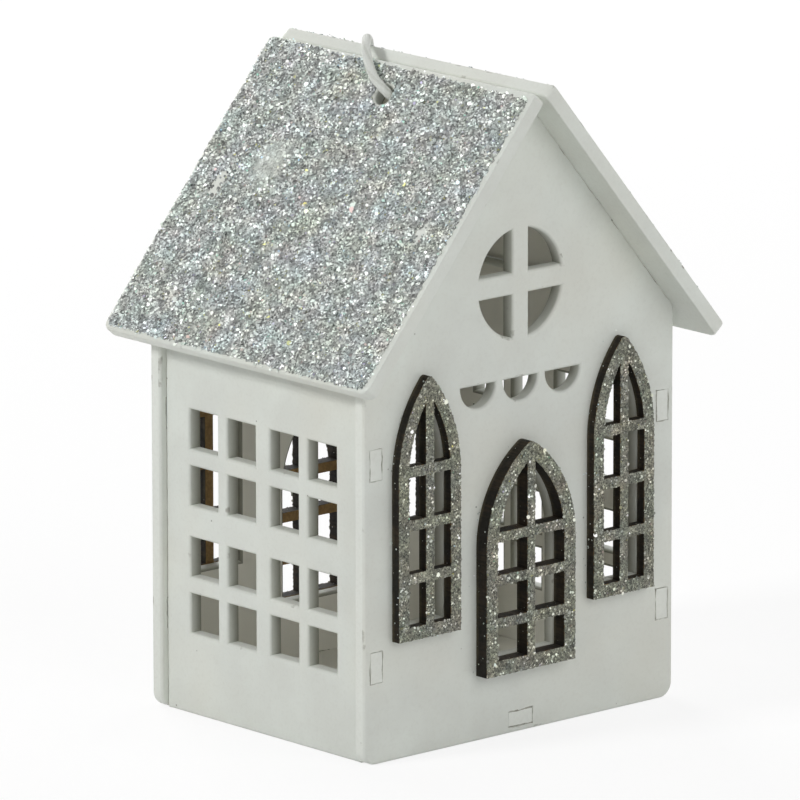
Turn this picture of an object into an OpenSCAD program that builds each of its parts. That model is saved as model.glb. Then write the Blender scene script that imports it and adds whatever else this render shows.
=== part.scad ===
// House ornament of painted laser-cut boards, joined by tabs in slots, with a lapped
// glitter roof, glued arched frames and a cord loop. Millimetres, origin under its middle.

/* [Boards] */
// Thickness of the house boards
board_t = 3; // [2.5:0.25:4]
// Length of a tab along the edge of its board
tab_l = 6; // [4:0.5:8]
// Room around a tab in its slot, and where an edge meets another board
joint_gap = 0.1; // [0.05:0.05:0.2]

/* [House] */
// Width of each gable
gable_w = 80; // [76:1:96]
// Depth over both gables
house_d = 62; // [58:1:80]
// Height of the gables' upright sides
eave_h = 77.5; // [76:0.1:96]
// Roof pitch in degrees
pitch = 50; // [46:1:55]
// Radius of the gables' bottom corners
foot_r = 3; // [1:0.5:6]
// Radius of the gables' shoulders under the eaves
shoulder_r = 5; // [2:0.5:8]

/* [Roof] */
// Reach of the roof past each gable
gable_overhang = 7.3; // [4:0.1:10]
// Reach of the left panel past the gables' side, along the slope
left_eave_overhang = 5.9; // [4:0.1:10]
// Reach of the right panel past the gables' side, along the slope
right_eave_overhang = 7.4; // [4:0.1:10]
// Distance down the slope from the gables' peak to the left panel's upper end
left_ridge_gap = 0.8; // [0.6:0.1:2]
// Reach of the right panel's upper end over the gables' peak, along the slope
right_ridge_lap = 0.6; // [0:0.1:2]
// Radius of the roof panels' corners at the ridge
ridge_corner_r = 1; // [0.5:0.5:6]
// Radius of the roof panels' corners at the eaves
eave_corner_r = 2; // [0.5:0.5:6]
// Distance down the slope from the gable's peak to the middle of its roof tab
roof_tab_u = 33.7; // [24:0.1:42]

/* [Side walls and floor] */
// Distance from a gable's side to the side wall's face
wall_inset = 1.5; // [1:0.25:4]
// Height of the middle of the side walls' lower tabs
low_tab_z = 19; // [12:0.5:24]
// Height of the middle of the side walls' upper tabs
high_tab_z = 58.5; // [50:0.5:66]
// Height of the floor's underside
floor_z = 1.25; // [0.5:0.25:6]

/* [Side panes] */
// Width of a pane
pane_w = 8; // [6:0.25:9]
// Height of a pane
pane_h = 7.8; // [6:0.2:9]
// Upright bar between the two panes of a window
pane_bar_w = 3; // [2:0.25:4]
// Level bar between the two rows of a window
pane_bar_h = 3.4; // [2:0.2:5]
// Wall between two windows side by side
window_gap_w = 4.4; // [3:0.2:6]
// Wall between the upper and the lower windows
window_gap_h = 6.3; // [3:0.1:8]
// Height of the lowest panes' sill
pane_sill_z = 16.2; // [12:0.2:22]

/* [Gable openings] */
// Diameter of the round window
round_d = 21.4; // [16:0.2:24]
// Height of the round window's middle
round_z = 88.3; // [86:0.1:90]
// Width of the round window's cross bars
cross_w = 4.3; // [2:0.1:6]
// Number of half-round vents
vent_count = 3; // [1:1:4]
// Diameter of a half-round vent
vent_d = 8.8; // [6:0.2:10]
// Spacing of the vents
vent_pitch = 10.9; // [10.5:0.1:13]
// Height of the vents' straight edges
vent_top_z = 69.8; // [66:0.1:72]

/* [Door frame] */
// Width of the door frame
door_w = 23; // [18:0.5:26]
// Height of the door frame
door_h = 44.8; // [42:0.1:47]
// Height of the door frame's straight sides
door_side_h = 25; // [22:0.5:28]
// Radius of the door arch's tip
door_tip_r = 1.5; // [0.5:0.1:3]
// Height of the frame's foot above the ground
door_sill_z = 13; // [8:0.5:15]
// Thickness of the door frame
door_t = 3; // [2:0.25:5]
// Width of the frame's border
door_border = 2.9; // [2:0.1:4]
// Width of the door's bars
door_bar_w = 2; // [1:0.1:3]
// Height of the door's square panes
door_pane_h = 6.45; // [5:0.05:7]

/* [Window frames] */
// Distance from a gable's side to the middle of the window next to it
window_x = 14.9; // [12:0.1:18]
// Width of a window frame
window_w = 15.8; // [12:0.2:18]
// Height of a window frame
window_h = 50.8; // [48:0.1:54]
// Height of a window frame's straight sides
window_side_h = 31.5; // [28:0.5:34]
// Radius of the window arches' tips
window_tip_r = 1; // [0.4:0.1:2]
// Height of the frame's foot above the ground
window_sill_z = 23.45; // [18:0.05:26]
// Thickness of a window frame
window_t = 2; // [1.5:0.25:4]
// Width of the frame's border
window_border = 2.6; // [1.6:0.1:3.6]
// Width of the window's bars
window_bar_w = 2.1; // [1:0.1:3]
// Height of the window's square panes
window_pane_h = 8.35; // [7:0.05:9]

/* [Glitter] */
// Thickness of the glitter coats
glitter_t = 0.3; // [0.2:0.05:0.6]
// Bare border of the roof panels along the ridge and the eaves
glitter_margin_u = 0.5; // [0.3:0.1:4]
// Bare border of the roof panels at the gables
glitter_margin_y = 0.6; // [0.3:0.1:4]
// Bare border around the cord holes
glitter_hole_margin = 0.5; // [0.4:0.1:1.5]

/* [Cord] */
// Diameter of the cord
cord_d = 1.8; // [1.2:0.1:2]
// Diameter of the cord holes
cord_hole_d = 4.2; // [3.8:0.1:5]
// Distance down the slope from the gable's peak to the middle of a cord hole
cord_hole_u = 7.8; // [7.6:0.1:8]
// Distance from the gable's peak down to the top of the knot
knot_drop = 15; // [14:0.5:16]
// Length of the two tails below the knot
knot_tail_l = 4; // [2:0.5:8]

/* [Hidden] */
$fn = 96;
paint = "#d6d9d2";
burnt_edge = "#2b241b";
silver = "#b4b8b5";
cotton = "#dcdfd9";

peak_z = eave_h + gable_w / 2 * tan(pitch);
slope_l = gable_w / 2 / cos(pitch);
roof_l = house_d + 2 * gable_overhang;
// Upper and lower ends of each roof panel, down the slope from the gables' peak
left_roof_ends = [left_ridge_gap, slope_l + left_eave_overhang];
right_roof_ends = [-right_ridge_lap, slope_l + right_eave_overhang];
inner_d = house_d - 2 * board_t;
wall_x = gable_w / 2 - wall_inset;
wall_h = eave_h + wall_inset * tan(pitch) - joint_gap;
floor_w = 2 * (wall_x - board_t - joint_gap);
shoulder_tangent = shoulder_r * tan((90 - pitch) / 2);
window_offset = gable_w / 2 - window_x;
frame_rows = 3;
tab_root = 1;

// The cord's free run: [down the slope, back along the ridge, above the panel's face]
left_run = [
    [9.2, -0.4, -8.8],
    [8.1, -0.9, -6.2],
    [7.6, -1.1, -3.8],
    [7.5, -1, -2.2],
    [7.2, -0.4, -0.4],
    [6.6, 0.8, 0.9],
    [5.7, 2.6, 1.6],
    [3.9, 5.2, 1.5],
    [2, 7.5, 1.4],
    [0, 9.5, 1.4]
];
right_run = [
    [-3.1, 12.4, -1.2],
    [-1.6, 14.8, 0.5],
    [0.2, 16.4, 1.3],
    [3, 18, 1.4],
    [8, 19.4, 1.3],
    [16, 19.6, 1.25],
    [25, 19, 1.25],
    [34, 18, 1.25],
    [43, 16.8, 1.25],
    [49.5, 14, 1.25],
    [52.5, 8.5, 1.25],
    [49.5, 3, 1.25],
    [43, 0.4, 1.25],
    [34, 0, 1.25],
    [25, 0, 1.25],
    [17, 0, 1.25],
    [12.8, 0, 1.5],
    [10.2, 0, 1.3],
    [8.4, 0, 0.1],
    [7.4, 0, -1.9],
    [7.4, 0, -4.2],
    [8.6, 0, -7.8]
];
cord_steps = 2;
cord_sides = 8;
cord_pair_x = 1;
cord_lead = 2;
knot_turns = 2;

// Places a flat outline, drawn in width and height, on the front or the back of the house
module on_front(x, z) {
    translate([x, -house_d / 2, z]) rotate([90, 0, 0]) children();
}

module on_back(x, z) {
    rotate([0, 0, 180]) on_front(-x, z) children();
}

// Places a flat outline, drawn down the slope and back along the ridge, on a side of the roof
module on_right_slope() {
    translate([0, 0, peak_z]) rotate([0, pitch, 0]) children();
}

module on_left_slope() {
    mirror([1, 0, 0]) on_right_slope() children();
}

module both_sides() {
    children();
    mirror([1, 0]) children();
}

module centred_slot(w, h) {
    square([w + 2 * joint_gap, h + 2 * joint_gap], center = true);
}

// Plate with one corner radius at its start and another at its end
module rounded_plate(w, l, start_r, end_r) {
    polygon([
        [start_r, 0], [w - end_r, 0], [w, end_r], [w, l - end_r],
        [w - end_r, l], [start_r, l], [0, l - start_r], [0, start_r]
    ]);
    for (y = [start_r, l - start_r]) translate([start_r, y]) circle(start_r);
    for (y = [end_r, l - end_r]) translate([w - end_r, y]) circle(end_r);
}

// Pointed arch with a rounded tip over straight sides, standing on the origin, drawn in all
// round by an inset
module pointed_arch(w, h, side_h, tip_r, inset) {
    rise = h - side_h;
    outer_r = (w * w / 4 + rise * (rise - 2 * tip_r)) / (w - 2 * tip_r);
    arc_x = outer_r - w / 2;
    arc_r = outer_r - inset;
    tip_rise = sqrt(pow(arc_r - tip_r, 2) - arc_x * arc_x);
    translate([inset - w / 2, inset]) square([w - 2 * inset, side_h - inset]);
    translate([0, side_h]) {
        intersection() {
            translate([arc_x, 0]) circle(arc_r);
            translate([-arc_x, 0]) circle(arc_r);
            translate([-w / 2, 0]) square([w, tip_rise * arc_r / (arc_r - tip_r)]);
        }
        translate([0, tip_rise]) circle(tip_r);
    }
}

module frame_bars(w, h, border, bar_w, row_h) {
    translate([-bar_w / 2, 0]) square([bar_w, h]);
    for (row = [1 : frame_rows])
        translate([-w / 2, border + row * row_h + (row - 1) * bar_w]) square([w, bar_w]);
}

module arched_frame(w, h, side_h, tip_r, border, bar_w, row_h) {
    difference() {
        pointed_arch(w, h, side_h, tip_r, 0);
        difference() {
            pointed_arch(w, h, side_h, tip_r, border);
            frame_bars(w, h, border, bar_w, row_h);
        }
    }
}

module door_outline() {
    arched_frame(door_w, door_h, door_side_h, door_tip_r, door_border, door_bar_w, door_pane_h);
}

module window_outline() {
    arched_frame(
        window_w, window_h, window_side_h, window_tip_r, window_border, window_bar_w, window_pane_h
    );
}

module door_board() {
    linear_extrude(door_t) door_outline();
}

module window_board() {
    linear_extrude(window_t) window_outline();
}

module door_coat() {
    translate([0, 0, door_t]) linear_extrude(glitter_t) door_outline();
}

module window_coat() {
    translate([0, 0, window_t]) linear_extrude(glitter_t) window_outline();
}

// Gable outline with rounded feet and shoulders
module gable_outline() {
    half = gable_w / 2;
    shoulder = [half - shoulder_r, eave_h - shoulder_tangent];
    polygon([
        [-half + foot_r, 0],
        [half - foot_r, 0],
        [half, foot_r],
        [half, shoulder[1]],
        shoulder + shoulder_r * [sin(pitch), cos(pitch)],
        [0, peak_z],
        [-shoulder[0], shoulder[1]] + shoulder_r * [-sin(pitch), cos(pitch)],
        [-half, shoulder[1]],
        [-half, foot_r]
    ]);
    both_sides() {
        translate([half - foot_r, foot_r]) circle(foot_r);
        translate(shoulder) circle(shoulder_r);
    }
}

module roof_tabs() {
    for (side = [-1, 1])
        translate([0, peak_z]) rotate(-side * pitch)
            translate([side * roof_tab_u - tab_l / 2, -tab_root]) square([tab_l, board_t + tab_root]);
}

module round_window() {
    translate([0, round_z]) difference() {
        circle(d = round_d);
        square([cross_w, round_d], center = true);
        square([round_d, cross_w], center = true);
    }
}

module vents() {
    for (i = [0 : vent_count - 1])
        translate([(i - (vent_count - 1) / 2) * vent_pitch, vent_top_z]) intersection() {
            circle(d = vent_d);
            translate([-vent_d / 2, -vent_d]) square([vent_d, vent_d]);
        }
}

module gable_slots() {
    both_sides() for (z = [low_tab_z, high_tab_z])
        translate([wall_x - board_t / 2, z]) centred_slot(board_t, tab_l);
    translate([0, floor_z + board_t / 2]) centred_slot(tab_l, board_t);
}

module gable_openings() {
    round_window();
    vents();
    translate([0, door_sill_z])
        pointed_arch(door_w, door_h, door_side_h, door_tip_r, door_border);
    both_sides() translate([window_offset, window_sill_z])
        pointed_arch(window_w, window_h, window_side_h, window_tip_r, window_border);
}

// Set back by its thickness, so that its face lies on the house's front
module gable_board() {
    translate([0, 0, -board_t]) linear_extrude(board_t) difference() {
        union() {
            gable_outline();
            roof_tabs();
        }
        gable_openings();
        gable_slots();
    }
}

module front_gable() {
    color(paint) on_front(0, 0) gable_board();
}

module back_gable() {
    color(paint) on_back(0, 0) gable_board();
}

// Windows of two by two panes, two side by side and two high, about the middle of the wall
module side_panes() {
    window_pw = 2 * pane_w + pane_bar_w;
    window_ph = 2 * pane_h + pane_bar_h;
    left = -window_pw - window_gap_w / 2;
    for (column = [0, 1], row = [0, 1], i = [0, 1], j = [0, 1])
        translate([
            left + column * (window_pw + window_gap_w) + i * (pane_w + pane_bar_w),
            pane_sill_z + row * (window_ph + window_gap_h) + j * (pane_h + pane_bar_h)
        ])
            square([pane_w, pane_h]);
}

module side_wall_outline() {
    difference() {
        union() {
            translate([-inner_d / 2, 0]) square([inner_d, wall_h]);
            for (z = [low_tab_z, high_tab_z])
                translate([0, z]) square([house_d, tab_l], center = true);
        }
        side_panes();
    }
}

// Drawn back along the house and up, and given its thickness towards the right
module side_wall_board() {
    rotate([90, 0, 90]) linear_extrude(board_t) side_wall_outline();
}

module left_wall() {
    color(paint) translate([-wall_x, 0, 0]) side_wall_board();
}

module right_wall() {
    color(paint) translate([wall_x - board_t, 0, 0]) side_wall_board();
}

module floor_panel() {
    color(paint) translate([0, 0, floor_z]) linear_extrude(board_t) {
        square([floor_w, inner_d], center = true);
        square([tab_l, house_d], center = true);
    }
}

module roof_outline(ends, margin_u, margin_y) {
    translate([ends[0] + margin_u, margin_y - roof_l / 2])
        rounded_plate(
            ends[1] - ends[0] - 2 * margin_u, roof_l - 2 * margin_y, ridge_corner_r, eave_corner_r
        );
}

module roof_cuts(hole_margin) {
    for (side = [-1, 1])
        translate([roof_tab_u, side * (house_d - board_t) / 2]) centred_slot(tab_l, board_t);
    translate([cord_hole_u, 0]) circle(d = cord_hole_d + 2 * hole_margin);
}

module roof_board(ends) {
    linear_extrude(board_t) difference() {
        roof_outline(ends, 0, 0);
        roof_cuts(0);
    }
}

module roof_coat(ends) {
    translate([0, 0, board_t]) linear_extrude(glitter_t) difference() {
        roof_outline(ends, glitter_margin_u, glitter_margin_y);
        roof_cuts(glitter_hole_margin);
    }
}

module left_roof_panel() {
    color(paint) on_left_slope() roof_board(left_roof_ends);
}

module right_roof_panel() {
    color(paint) on_right_slope() roof_board(right_roof_ends);
}

module left_roof_glitter() {
    color(silver) on_left_slope() roof_coat(left_roof_ends);
}

module right_roof_glitter() {
    color(silver) on_right_slope() roof_coat(right_roof_ends);
}

module front_door_frame() {
    color(burnt_edge) on_front(0, door_sill_z) door_board();
}

module front_left_window_frame() {
    color(burnt_edge) on_front(-window_offset, window_sill_z) window_board();
}

module front_right_window_frame() {
    color(burnt_edge) on_front(window_offset, window_sill_z) window_board();
}

module back_door_frame() {
    color(burnt_edge) on_back(0, door_sill_z) door_board();
}

module back_left_window_frame() {
    color(burnt_edge) on_back(-window_offset, window_sill_z) window_board();
}

module back_right_window_frame() {
    color(burnt_edge) on_back(window_offset, window_sill_z) window_board();
}

module front_door_glitter() {
    color(silver) on_front(0, door_sill_z) door_coat();
}

module front_left_window_glitter() {
    color(silver) on_front(-window_offset, window_sill_z) window_coat();
}

module front_right_window_glitter() {
    color(silver) on_front(window_offset, window_sill_z) window_coat();
}

module back_door_glitter() {
    color(silver) on_back(0, door_sill_z) door_coat();
}

module back_left_window_glitter() {
    color(silver) on_back(-window_offset, window_sill_z) window_coat();
}

module back_right_window_glitter() {
    color(silver) on_back(window_offset, window_sill_z) window_coat();
}

// A point of the cord's run on the left (-1) or the right (1) slope, in the house's frame
function slope_point(side, p) =
    let (out = p[2] + board_t)
    [
        side * (p[0] * cos(pitch) + out * sin(pitch)),
        p[1],
        peak_z - p[0] * sin(pitch) + out * cos(pitch)
    ];

// The cord's end on the knot and the start of its straight lead
function knot_end(side) = [side * cord_pair_x, 0, peak_z - knot_drop];
function knot_lead(side) = knot_end(side) + [0, 0, cord_lead];

cord_route = concat(
    [knot_end(-1), knot_lead(-1)],
    [for (p = left_run) slope_point(-1, p)],
    [for (p = right_run) slope_point(1, p)],
    [knot_lead(1), knot_end(1)]
);

function unit(v) = v / norm(v);

// Point on the smooth curve through the route, a share t past its point i
function curve_point(route, i, t) =
    let (
        last = len(route) - 1,
        a = route[max(i - 1, 0)],
        b = route[i],
        c = route[min(i + 1, last)],
        d = route[min(i + 2, last)]
    )
    b + t / 2 * (c - a + t * (2 * a - 5 * b + 4 * c - d + t * (3 * (b - c) + d - a)));

cord_line = [
    for (i = [0 : len(cord_route) - 2], step = [0 : cord_steps - 1])
        curve_point(cord_route, i, step / cord_steps),
    cord_route[len(cord_route) - 1]
];

// Direction of the cord at a ring. It meets the knot upright
function heading(i) =
    i == 0 ? [0, 0, 1] :
    i == len(cord_line) - 1 ? [0, 0, -1] :
    unit(cord_line[i + 1] - cord_line[i - 1]);

// Sideways direction at each ring, carried along the cord without twist
cord_sideways = [
    for (i = 0, side = [1, 0, 0];
         i < len(cord_line);
         i = i + 1, side = i < len(cord_line) ? unit(side - (side * heading(i)) * heading(i)) : side)
        side
];

function ring_point(i, k) =
    let (angle = 360 * k / cord_sides, side = cord_sideways[i])
    cord_line[i] + cord_d / 2 * (cos(angle) * side + sin(angle) * cross(heading(i), side));

module hanging_cord() {
    rings = len(cord_line);
    points = [for (i = [0 : rings - 1], k = [0 : cord_sides - 1]) ring_point(i, k)];
    sides = [
        for (i = [0 : rings - 2], k = [0 : cord_sides - 1])
            let (a = i * cord_sides + k, b = i * cord_sides + (k + 1) % cord_sides)
            each [[a, a + cord_sides, b], [b, a + cord_sides, b + cord_sides]]
    ];
    start = [for (k = [0 : cord_sides - 1]) k];
    end = [for (k = [1 : cord_sides]) rings * cord_sides - k];
    color(cotton) polyhedron(points, concat([start], sides, [end]));
}

// Both ends tied together by turns of the cord, with their tails below
module cord_knot() {
    knot_h = knot_turns * cord_d;
    color(cotton) translate([0, 0, peak_z - knot_drop - knot_h]) {
        rotate_extrude() {
            square([cord_d, knot_h]);
            for (turn = [1 : knot_turns]) translate([cord_d, (turn - 0.5) * cord_d]) circle(d = cord_d);
        }
        for (side = [-1, 1])
            translate([side * cord_pair_x, 0, -knot_tail_l])
                cylinder(d = cord_d, h = knot_tail_l + knot_h / 2);
    }
}

front_gable();
back_gable();
left_wall();
right_wall();
floor_panel();
left_roof_panel();
right_roof_panel();
left_roof_glitter();
right_roof_glitter();
front_door_frame();
front_left_window_frame();
front_right_window_frame();
back_door_frame();
back_left_window_frame();
back_right_window_frame();
front_door_glitter();
front_left_window_glitter();
front_right_window_glitter();
back_door_glitter();
back_left_window_glitter();
back_right_window_glitter();
hanging_cord();
cord_knot();
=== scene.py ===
"""White painted house ornament with a glitter roof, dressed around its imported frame.

Everything is in metres, in the frame's own axes: the front gable faces -Y, the left side of
the roof falls towards -X, and the house stands on Z = 0.
"""

import logging
import math
from dataclasses import dataclass, field
from enum import Enum
from typing import NamedTuple

import bmesh
import bpy
import numpy as np
from mathutils import Matrix, Vector
from mathutils.bvhtree import BVHTree
from mathutils.geometry import delaunay_2d_cdt
from mathutils.kdtree import KDTree


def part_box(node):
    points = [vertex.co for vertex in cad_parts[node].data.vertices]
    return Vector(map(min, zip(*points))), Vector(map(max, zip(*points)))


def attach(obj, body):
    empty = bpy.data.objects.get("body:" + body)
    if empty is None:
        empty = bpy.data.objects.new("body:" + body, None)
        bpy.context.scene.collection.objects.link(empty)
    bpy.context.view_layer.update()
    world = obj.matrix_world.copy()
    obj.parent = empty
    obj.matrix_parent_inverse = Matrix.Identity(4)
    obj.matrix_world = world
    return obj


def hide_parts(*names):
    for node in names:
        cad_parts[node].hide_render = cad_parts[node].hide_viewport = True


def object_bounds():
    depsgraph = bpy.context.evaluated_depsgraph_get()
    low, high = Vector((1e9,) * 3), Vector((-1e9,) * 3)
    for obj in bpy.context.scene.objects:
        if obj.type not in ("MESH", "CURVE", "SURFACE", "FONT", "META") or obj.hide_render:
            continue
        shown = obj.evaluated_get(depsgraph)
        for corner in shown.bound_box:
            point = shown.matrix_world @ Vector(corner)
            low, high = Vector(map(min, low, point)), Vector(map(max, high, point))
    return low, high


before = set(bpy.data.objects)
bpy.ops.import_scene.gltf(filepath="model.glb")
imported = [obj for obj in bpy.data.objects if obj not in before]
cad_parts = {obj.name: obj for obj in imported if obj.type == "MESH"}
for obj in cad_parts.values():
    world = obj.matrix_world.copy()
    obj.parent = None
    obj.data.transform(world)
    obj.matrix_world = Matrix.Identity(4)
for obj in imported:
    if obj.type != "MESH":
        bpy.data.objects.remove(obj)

log = logging.getLogger("house")

MM = 0.001
PITCH = math.radians(50)
BOARD_T = 3 * MM
PEAK = Vector((0, 0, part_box("front_gable")[1].z))
CAD_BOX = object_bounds()
BAKE_MAP = "OFBake"
OPENINGS = ("door", "left_window", "right_window")

# Points nearer than this are one, and a face that lies on a plate points up by more than this
MERGE = 1e-6
FACES_UP = 0.9

# The kind of triangles that a fill asks for, and its tolerance in millimetres
INSIDE_ONLY = 1
SNAP = 1e-5

Colour = tuple[float, float, float, float]
Levels = tuple[int, int, int]
Curve = tuple[tuple[float, float], ...]


class Named(Enum):
    """A choice whose name stands in the names of its nodes."""

    @property
    def word(self) -> str:
        """The name as the nodes spell it."""
        return self.name.lower()


class Slot(Enum):
    """The material slots of the part's record."""

    PAINT = "painted_board"
    CHAR = "charred_board"
    GLITTER = "silver_glitter"
    CORD = "cotton_cord"


class Side(Named):
    """A side of the roof, by the sign of X."""

    LEFT = -1
    RIGHT = 1


class Face(Named):
    """A gable's face, by the sign of Y that it looks to."""

    FRONT = -1
    BACK = 1


def to_linear(levels: np.ndarray) -> np.ndarray:
    """Turns 8-bit sRGB levels into linear values.

    Args:
        levels: Levels from 0 to 255.

    Returns:
        Values from 0 to 1, in the same shape.
    """
    share = np.asarray(levels, float) / 255
    return np.where(share <= 0.04045, share / 12.92, ((share + 0.055) / 1.055) ** 2.4)


def colour(levels: Levels) -> Colour:
    """A shader's colour from 8-bit sRGB levels."""
    return (*to_linear(np.array(levels)).tolist(), 1.0)


def grey(value: float) -> Colour:
    """A shader's grey from a linear value."""
    return (value, value, value, 1.0)


def only(piece: bpy.types.Object) -> None:
    """Selects one object alone and makes it the active one.

    Args:
        piece: The object.
    """
    bpy.ops.object.select_all(action="DESELECT")
    piece.select_set(True)
    bpy.context.view_layer.objects.active = piece


def new_object(name: str, data: bpy.types.ID) -> bpy.types.Object:
    """Puts an object in the scene, at the origin.

    Args:
        name: The object's name.
        data: Its mesh, lamp or camera.

    Returns:
        The new object.
    """
    made = bpy.data.objects.new(name, data)
    bpy.context.scene.collection.objects.link(made)
    return made


def hand_over(piece: bpy.types.Object, node: str) -> None:
    """Rides a finished piece on the house and reports it.

    Args:
        piece: The piece, in place.
        node: The frame's node that it stands for.
    """
    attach(piece, "root")
    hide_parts(node)
    log.info("%s: %d faces, for %s", piece.name, len(piece.data.polygons), node)


class NodeTree:
    """A tree of nodes, with short calls that add and join them."""

    def __init__(self, tree: bpy.types.NodeTree) -> None:
        """Takes up a material's or a world's tree."""
        self.nodes = tree.nodes
        self.links = tree.links

    def put(self, socket: bpy.types.NodeSocket, value: object) -> None:
        """Links an output to a socket, or sets the socket to a plain value.

        Args:
            socket: The input.
            value: An output of a node, a number or a tuple of numbers.
        """
        if isinstance(value, bpy.types.NodeSocket):
            self.links.new(value, socket)
        else:
            socket.default_value = value

    def add(self, kind: str, inputs: dict[str | int, object], **settings: object) -> bpy.types.Node:
        """Adds a node.

        Args:
            kind: The node's type, without its leading words.
            inputs: Values or outputs for its inputs, by name or number.
            settings: Values of its own properties.

        Returns:
            The node.
        """
        node = self.nodes.new("ShaderNode" + kind)
        for key, value in settings.items():
            setattr(node, key, value)
        for key, value in inputs.items():
            self.put(node.inputs[key], value)
        return node

    def math(self, operation: str, a: object, b: object = 0.0) -> bpy.types.NodeSocket:
        """A sum of one or two values.

        Args:
            operation: The Math node's operation.
            a: First value or output.
            b: Second value or output.

        Returns:
            The result's output.
        """
        return self.add("Math", {0: a, 1: b}, operation=operation).outputs[0]

    def span(
        self,
        value: bpy.types.NodeSocket,
        low: float,
        high: float,
        to_low: float = 0.0,
        to_high: float = 1.0,
    ) -> bpy.types.NodeSocket:
        """Maps a range of a value to another, and holds it at the ends.

        Args:
            value: The value.
            low: Where the range starts.
            high: Where it ends.
            to_low: The result at the start.
            to_high: The result at the end.

        Returns:
            The result's output.
        """
        ends = {"From Min": low, "From Max": high, "To Min": to_low, "To Max": to_high}
        return self.add("MapRange", {"Value": value, **ends}).outputs["Result"]

    def seen(self) -> bpy.types.NodeSocket:
        """Whether a ray comes from the camera, a reflection or glass.

        Returns:
            An output of 1 for such a ray, and else 0.
        """
        rays = self.add("LightPath", {}).outputs
        total = rays["Is Camera Ray"]
        for name in ("Is Glossy Ray", "Is Transmission Ray"):
            total = self.math("MAXIMUM", total, rays[name])
        return total


class Shader(NodeTree):
    """The node tree of one finish."""

    # The Mix node's sockets for two colours, by number
    MIX_INPUTS = (0, 6, 7)
    MIX_OUTPUT = 2

    def __init__(self, name: str) -> None:
        """Makes the material with its coordinates.

        Args:
            name: The finish's name.
        """
        self.material = bpy.data.materials.new(name)
        self.material.use_nodes = True
        super().__init__(self.material.node_tree)
        self.surface = self.nodes["Principled BSDF"]
        self.coordinates = self.add("TexCoord", {}).outputs

    def noise(self, scale: tuple[float, float, float], detail: float = 2.0) -> bpy.types.NodeSocket:
        """Noise on the object's own coordinates.

        Args:
            scale: Features per metre along each axis.
            detail: Levels of finer noise.

        Returns:
            The noise, about 0.5.
        """
        stretched = self.add("Mapping", {"Vector": self.coordinates["Object"], "Scale": scale})
        found = self.add("TexNoise", {"Vector": stretched.outputs[0], "Scale": 1.0, "Detail": detail})
        return found.outputs["Fac"]

    def even_noise(self, scale: float, detail: float = 2.0) -> bpy.types.NodeSocket:
        """Noise that is alike along each axis."""
        return self.noise((scale, scale, scale), detail)

    def mix(self, share: object, a: object, b: object) -> bpy.types.NodeSocket:
        """Mixes two colours.

        Args:
            share: Share of the second.
            a: First colour.
            b: Second colour.

        Returns:
            The mixed colour's output.
        """
        inputs = dict(zip(self.MIX_INPUTS, (share, a, b)))
        return self.add("Mix", inputs, data_type="RGBA").outputs[self.MIX_OUTPUT]

    def distance(self, place: Vector) -> bpy.types.NodeSocket:
        """Distance of each point of the surface from a place.

        Args:
            place: The place, in the object's coordinates.

        Returns:
            The distance's output.
        """
        inputs = {0: self.coordinates["Object"], 1: place}
        return self.add("VectorMath", inputs, operation="DISTANCE").outputs["Value"]

    def spots(self, per_metre: float) -> bpy.types.NodeSocket:
        """Distance of each point from the nearest of scattered spots, in their own spacing.

        Args:
            per_metre: Spots per metre along each axis.

        Returns:
            The distance's output.
        """
        inputs = {"Vector": self.coordinates["Object"], "Scale": per_metre}
        return self.add("TexVoronoi", inputs).outputs["Distance"]

    def axes(self, vector: bpy.types.NodeSocket) -> bpy.types.bpy_prop_collection:
        """The outputs X, Y and Z of a vector."""
        return self.add("SeparateXYZ", {"Vector": vector}).outputs

    def attribute(self, name: str) -> bpy.types.bpy_prop_collection:
        """The outputs of one of the mesh's own attributes."""
        return self.add("Attribute", {}, attribute_name=name).outputs

    def mark(self, name: str) -> bpy.types.NodeSocket:
        """The value of an attribute that holds plain numbers."""
        return self.attribute(name)["Fac"]

    def set(self, **values: object) -> None:
        """Sets sockets of the surface.

        Args:
            values: Values or outputs, by the sockets' names in lower case with underscores.
        """
        for key, value in values.items():
            title = key.replace("_", " ").title().replace("Ior", "IOR")
            self.put(self.surface.inputs[title], value)

    def bump(self, height: bpy.types.NodeSocket, depth: float, strength: float) -> None:
        """Raises the surface.

        Args:
            height: Height, from 0 to 1.
            depth: What a height of 1 measures.
            strength: Share of the bump that shows.
        """
        node = self.add("Bump", {"Height": height, "Distance": depth, "Strength": strength})
        self.set(normal=node.outputs["Normal"])


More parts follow.
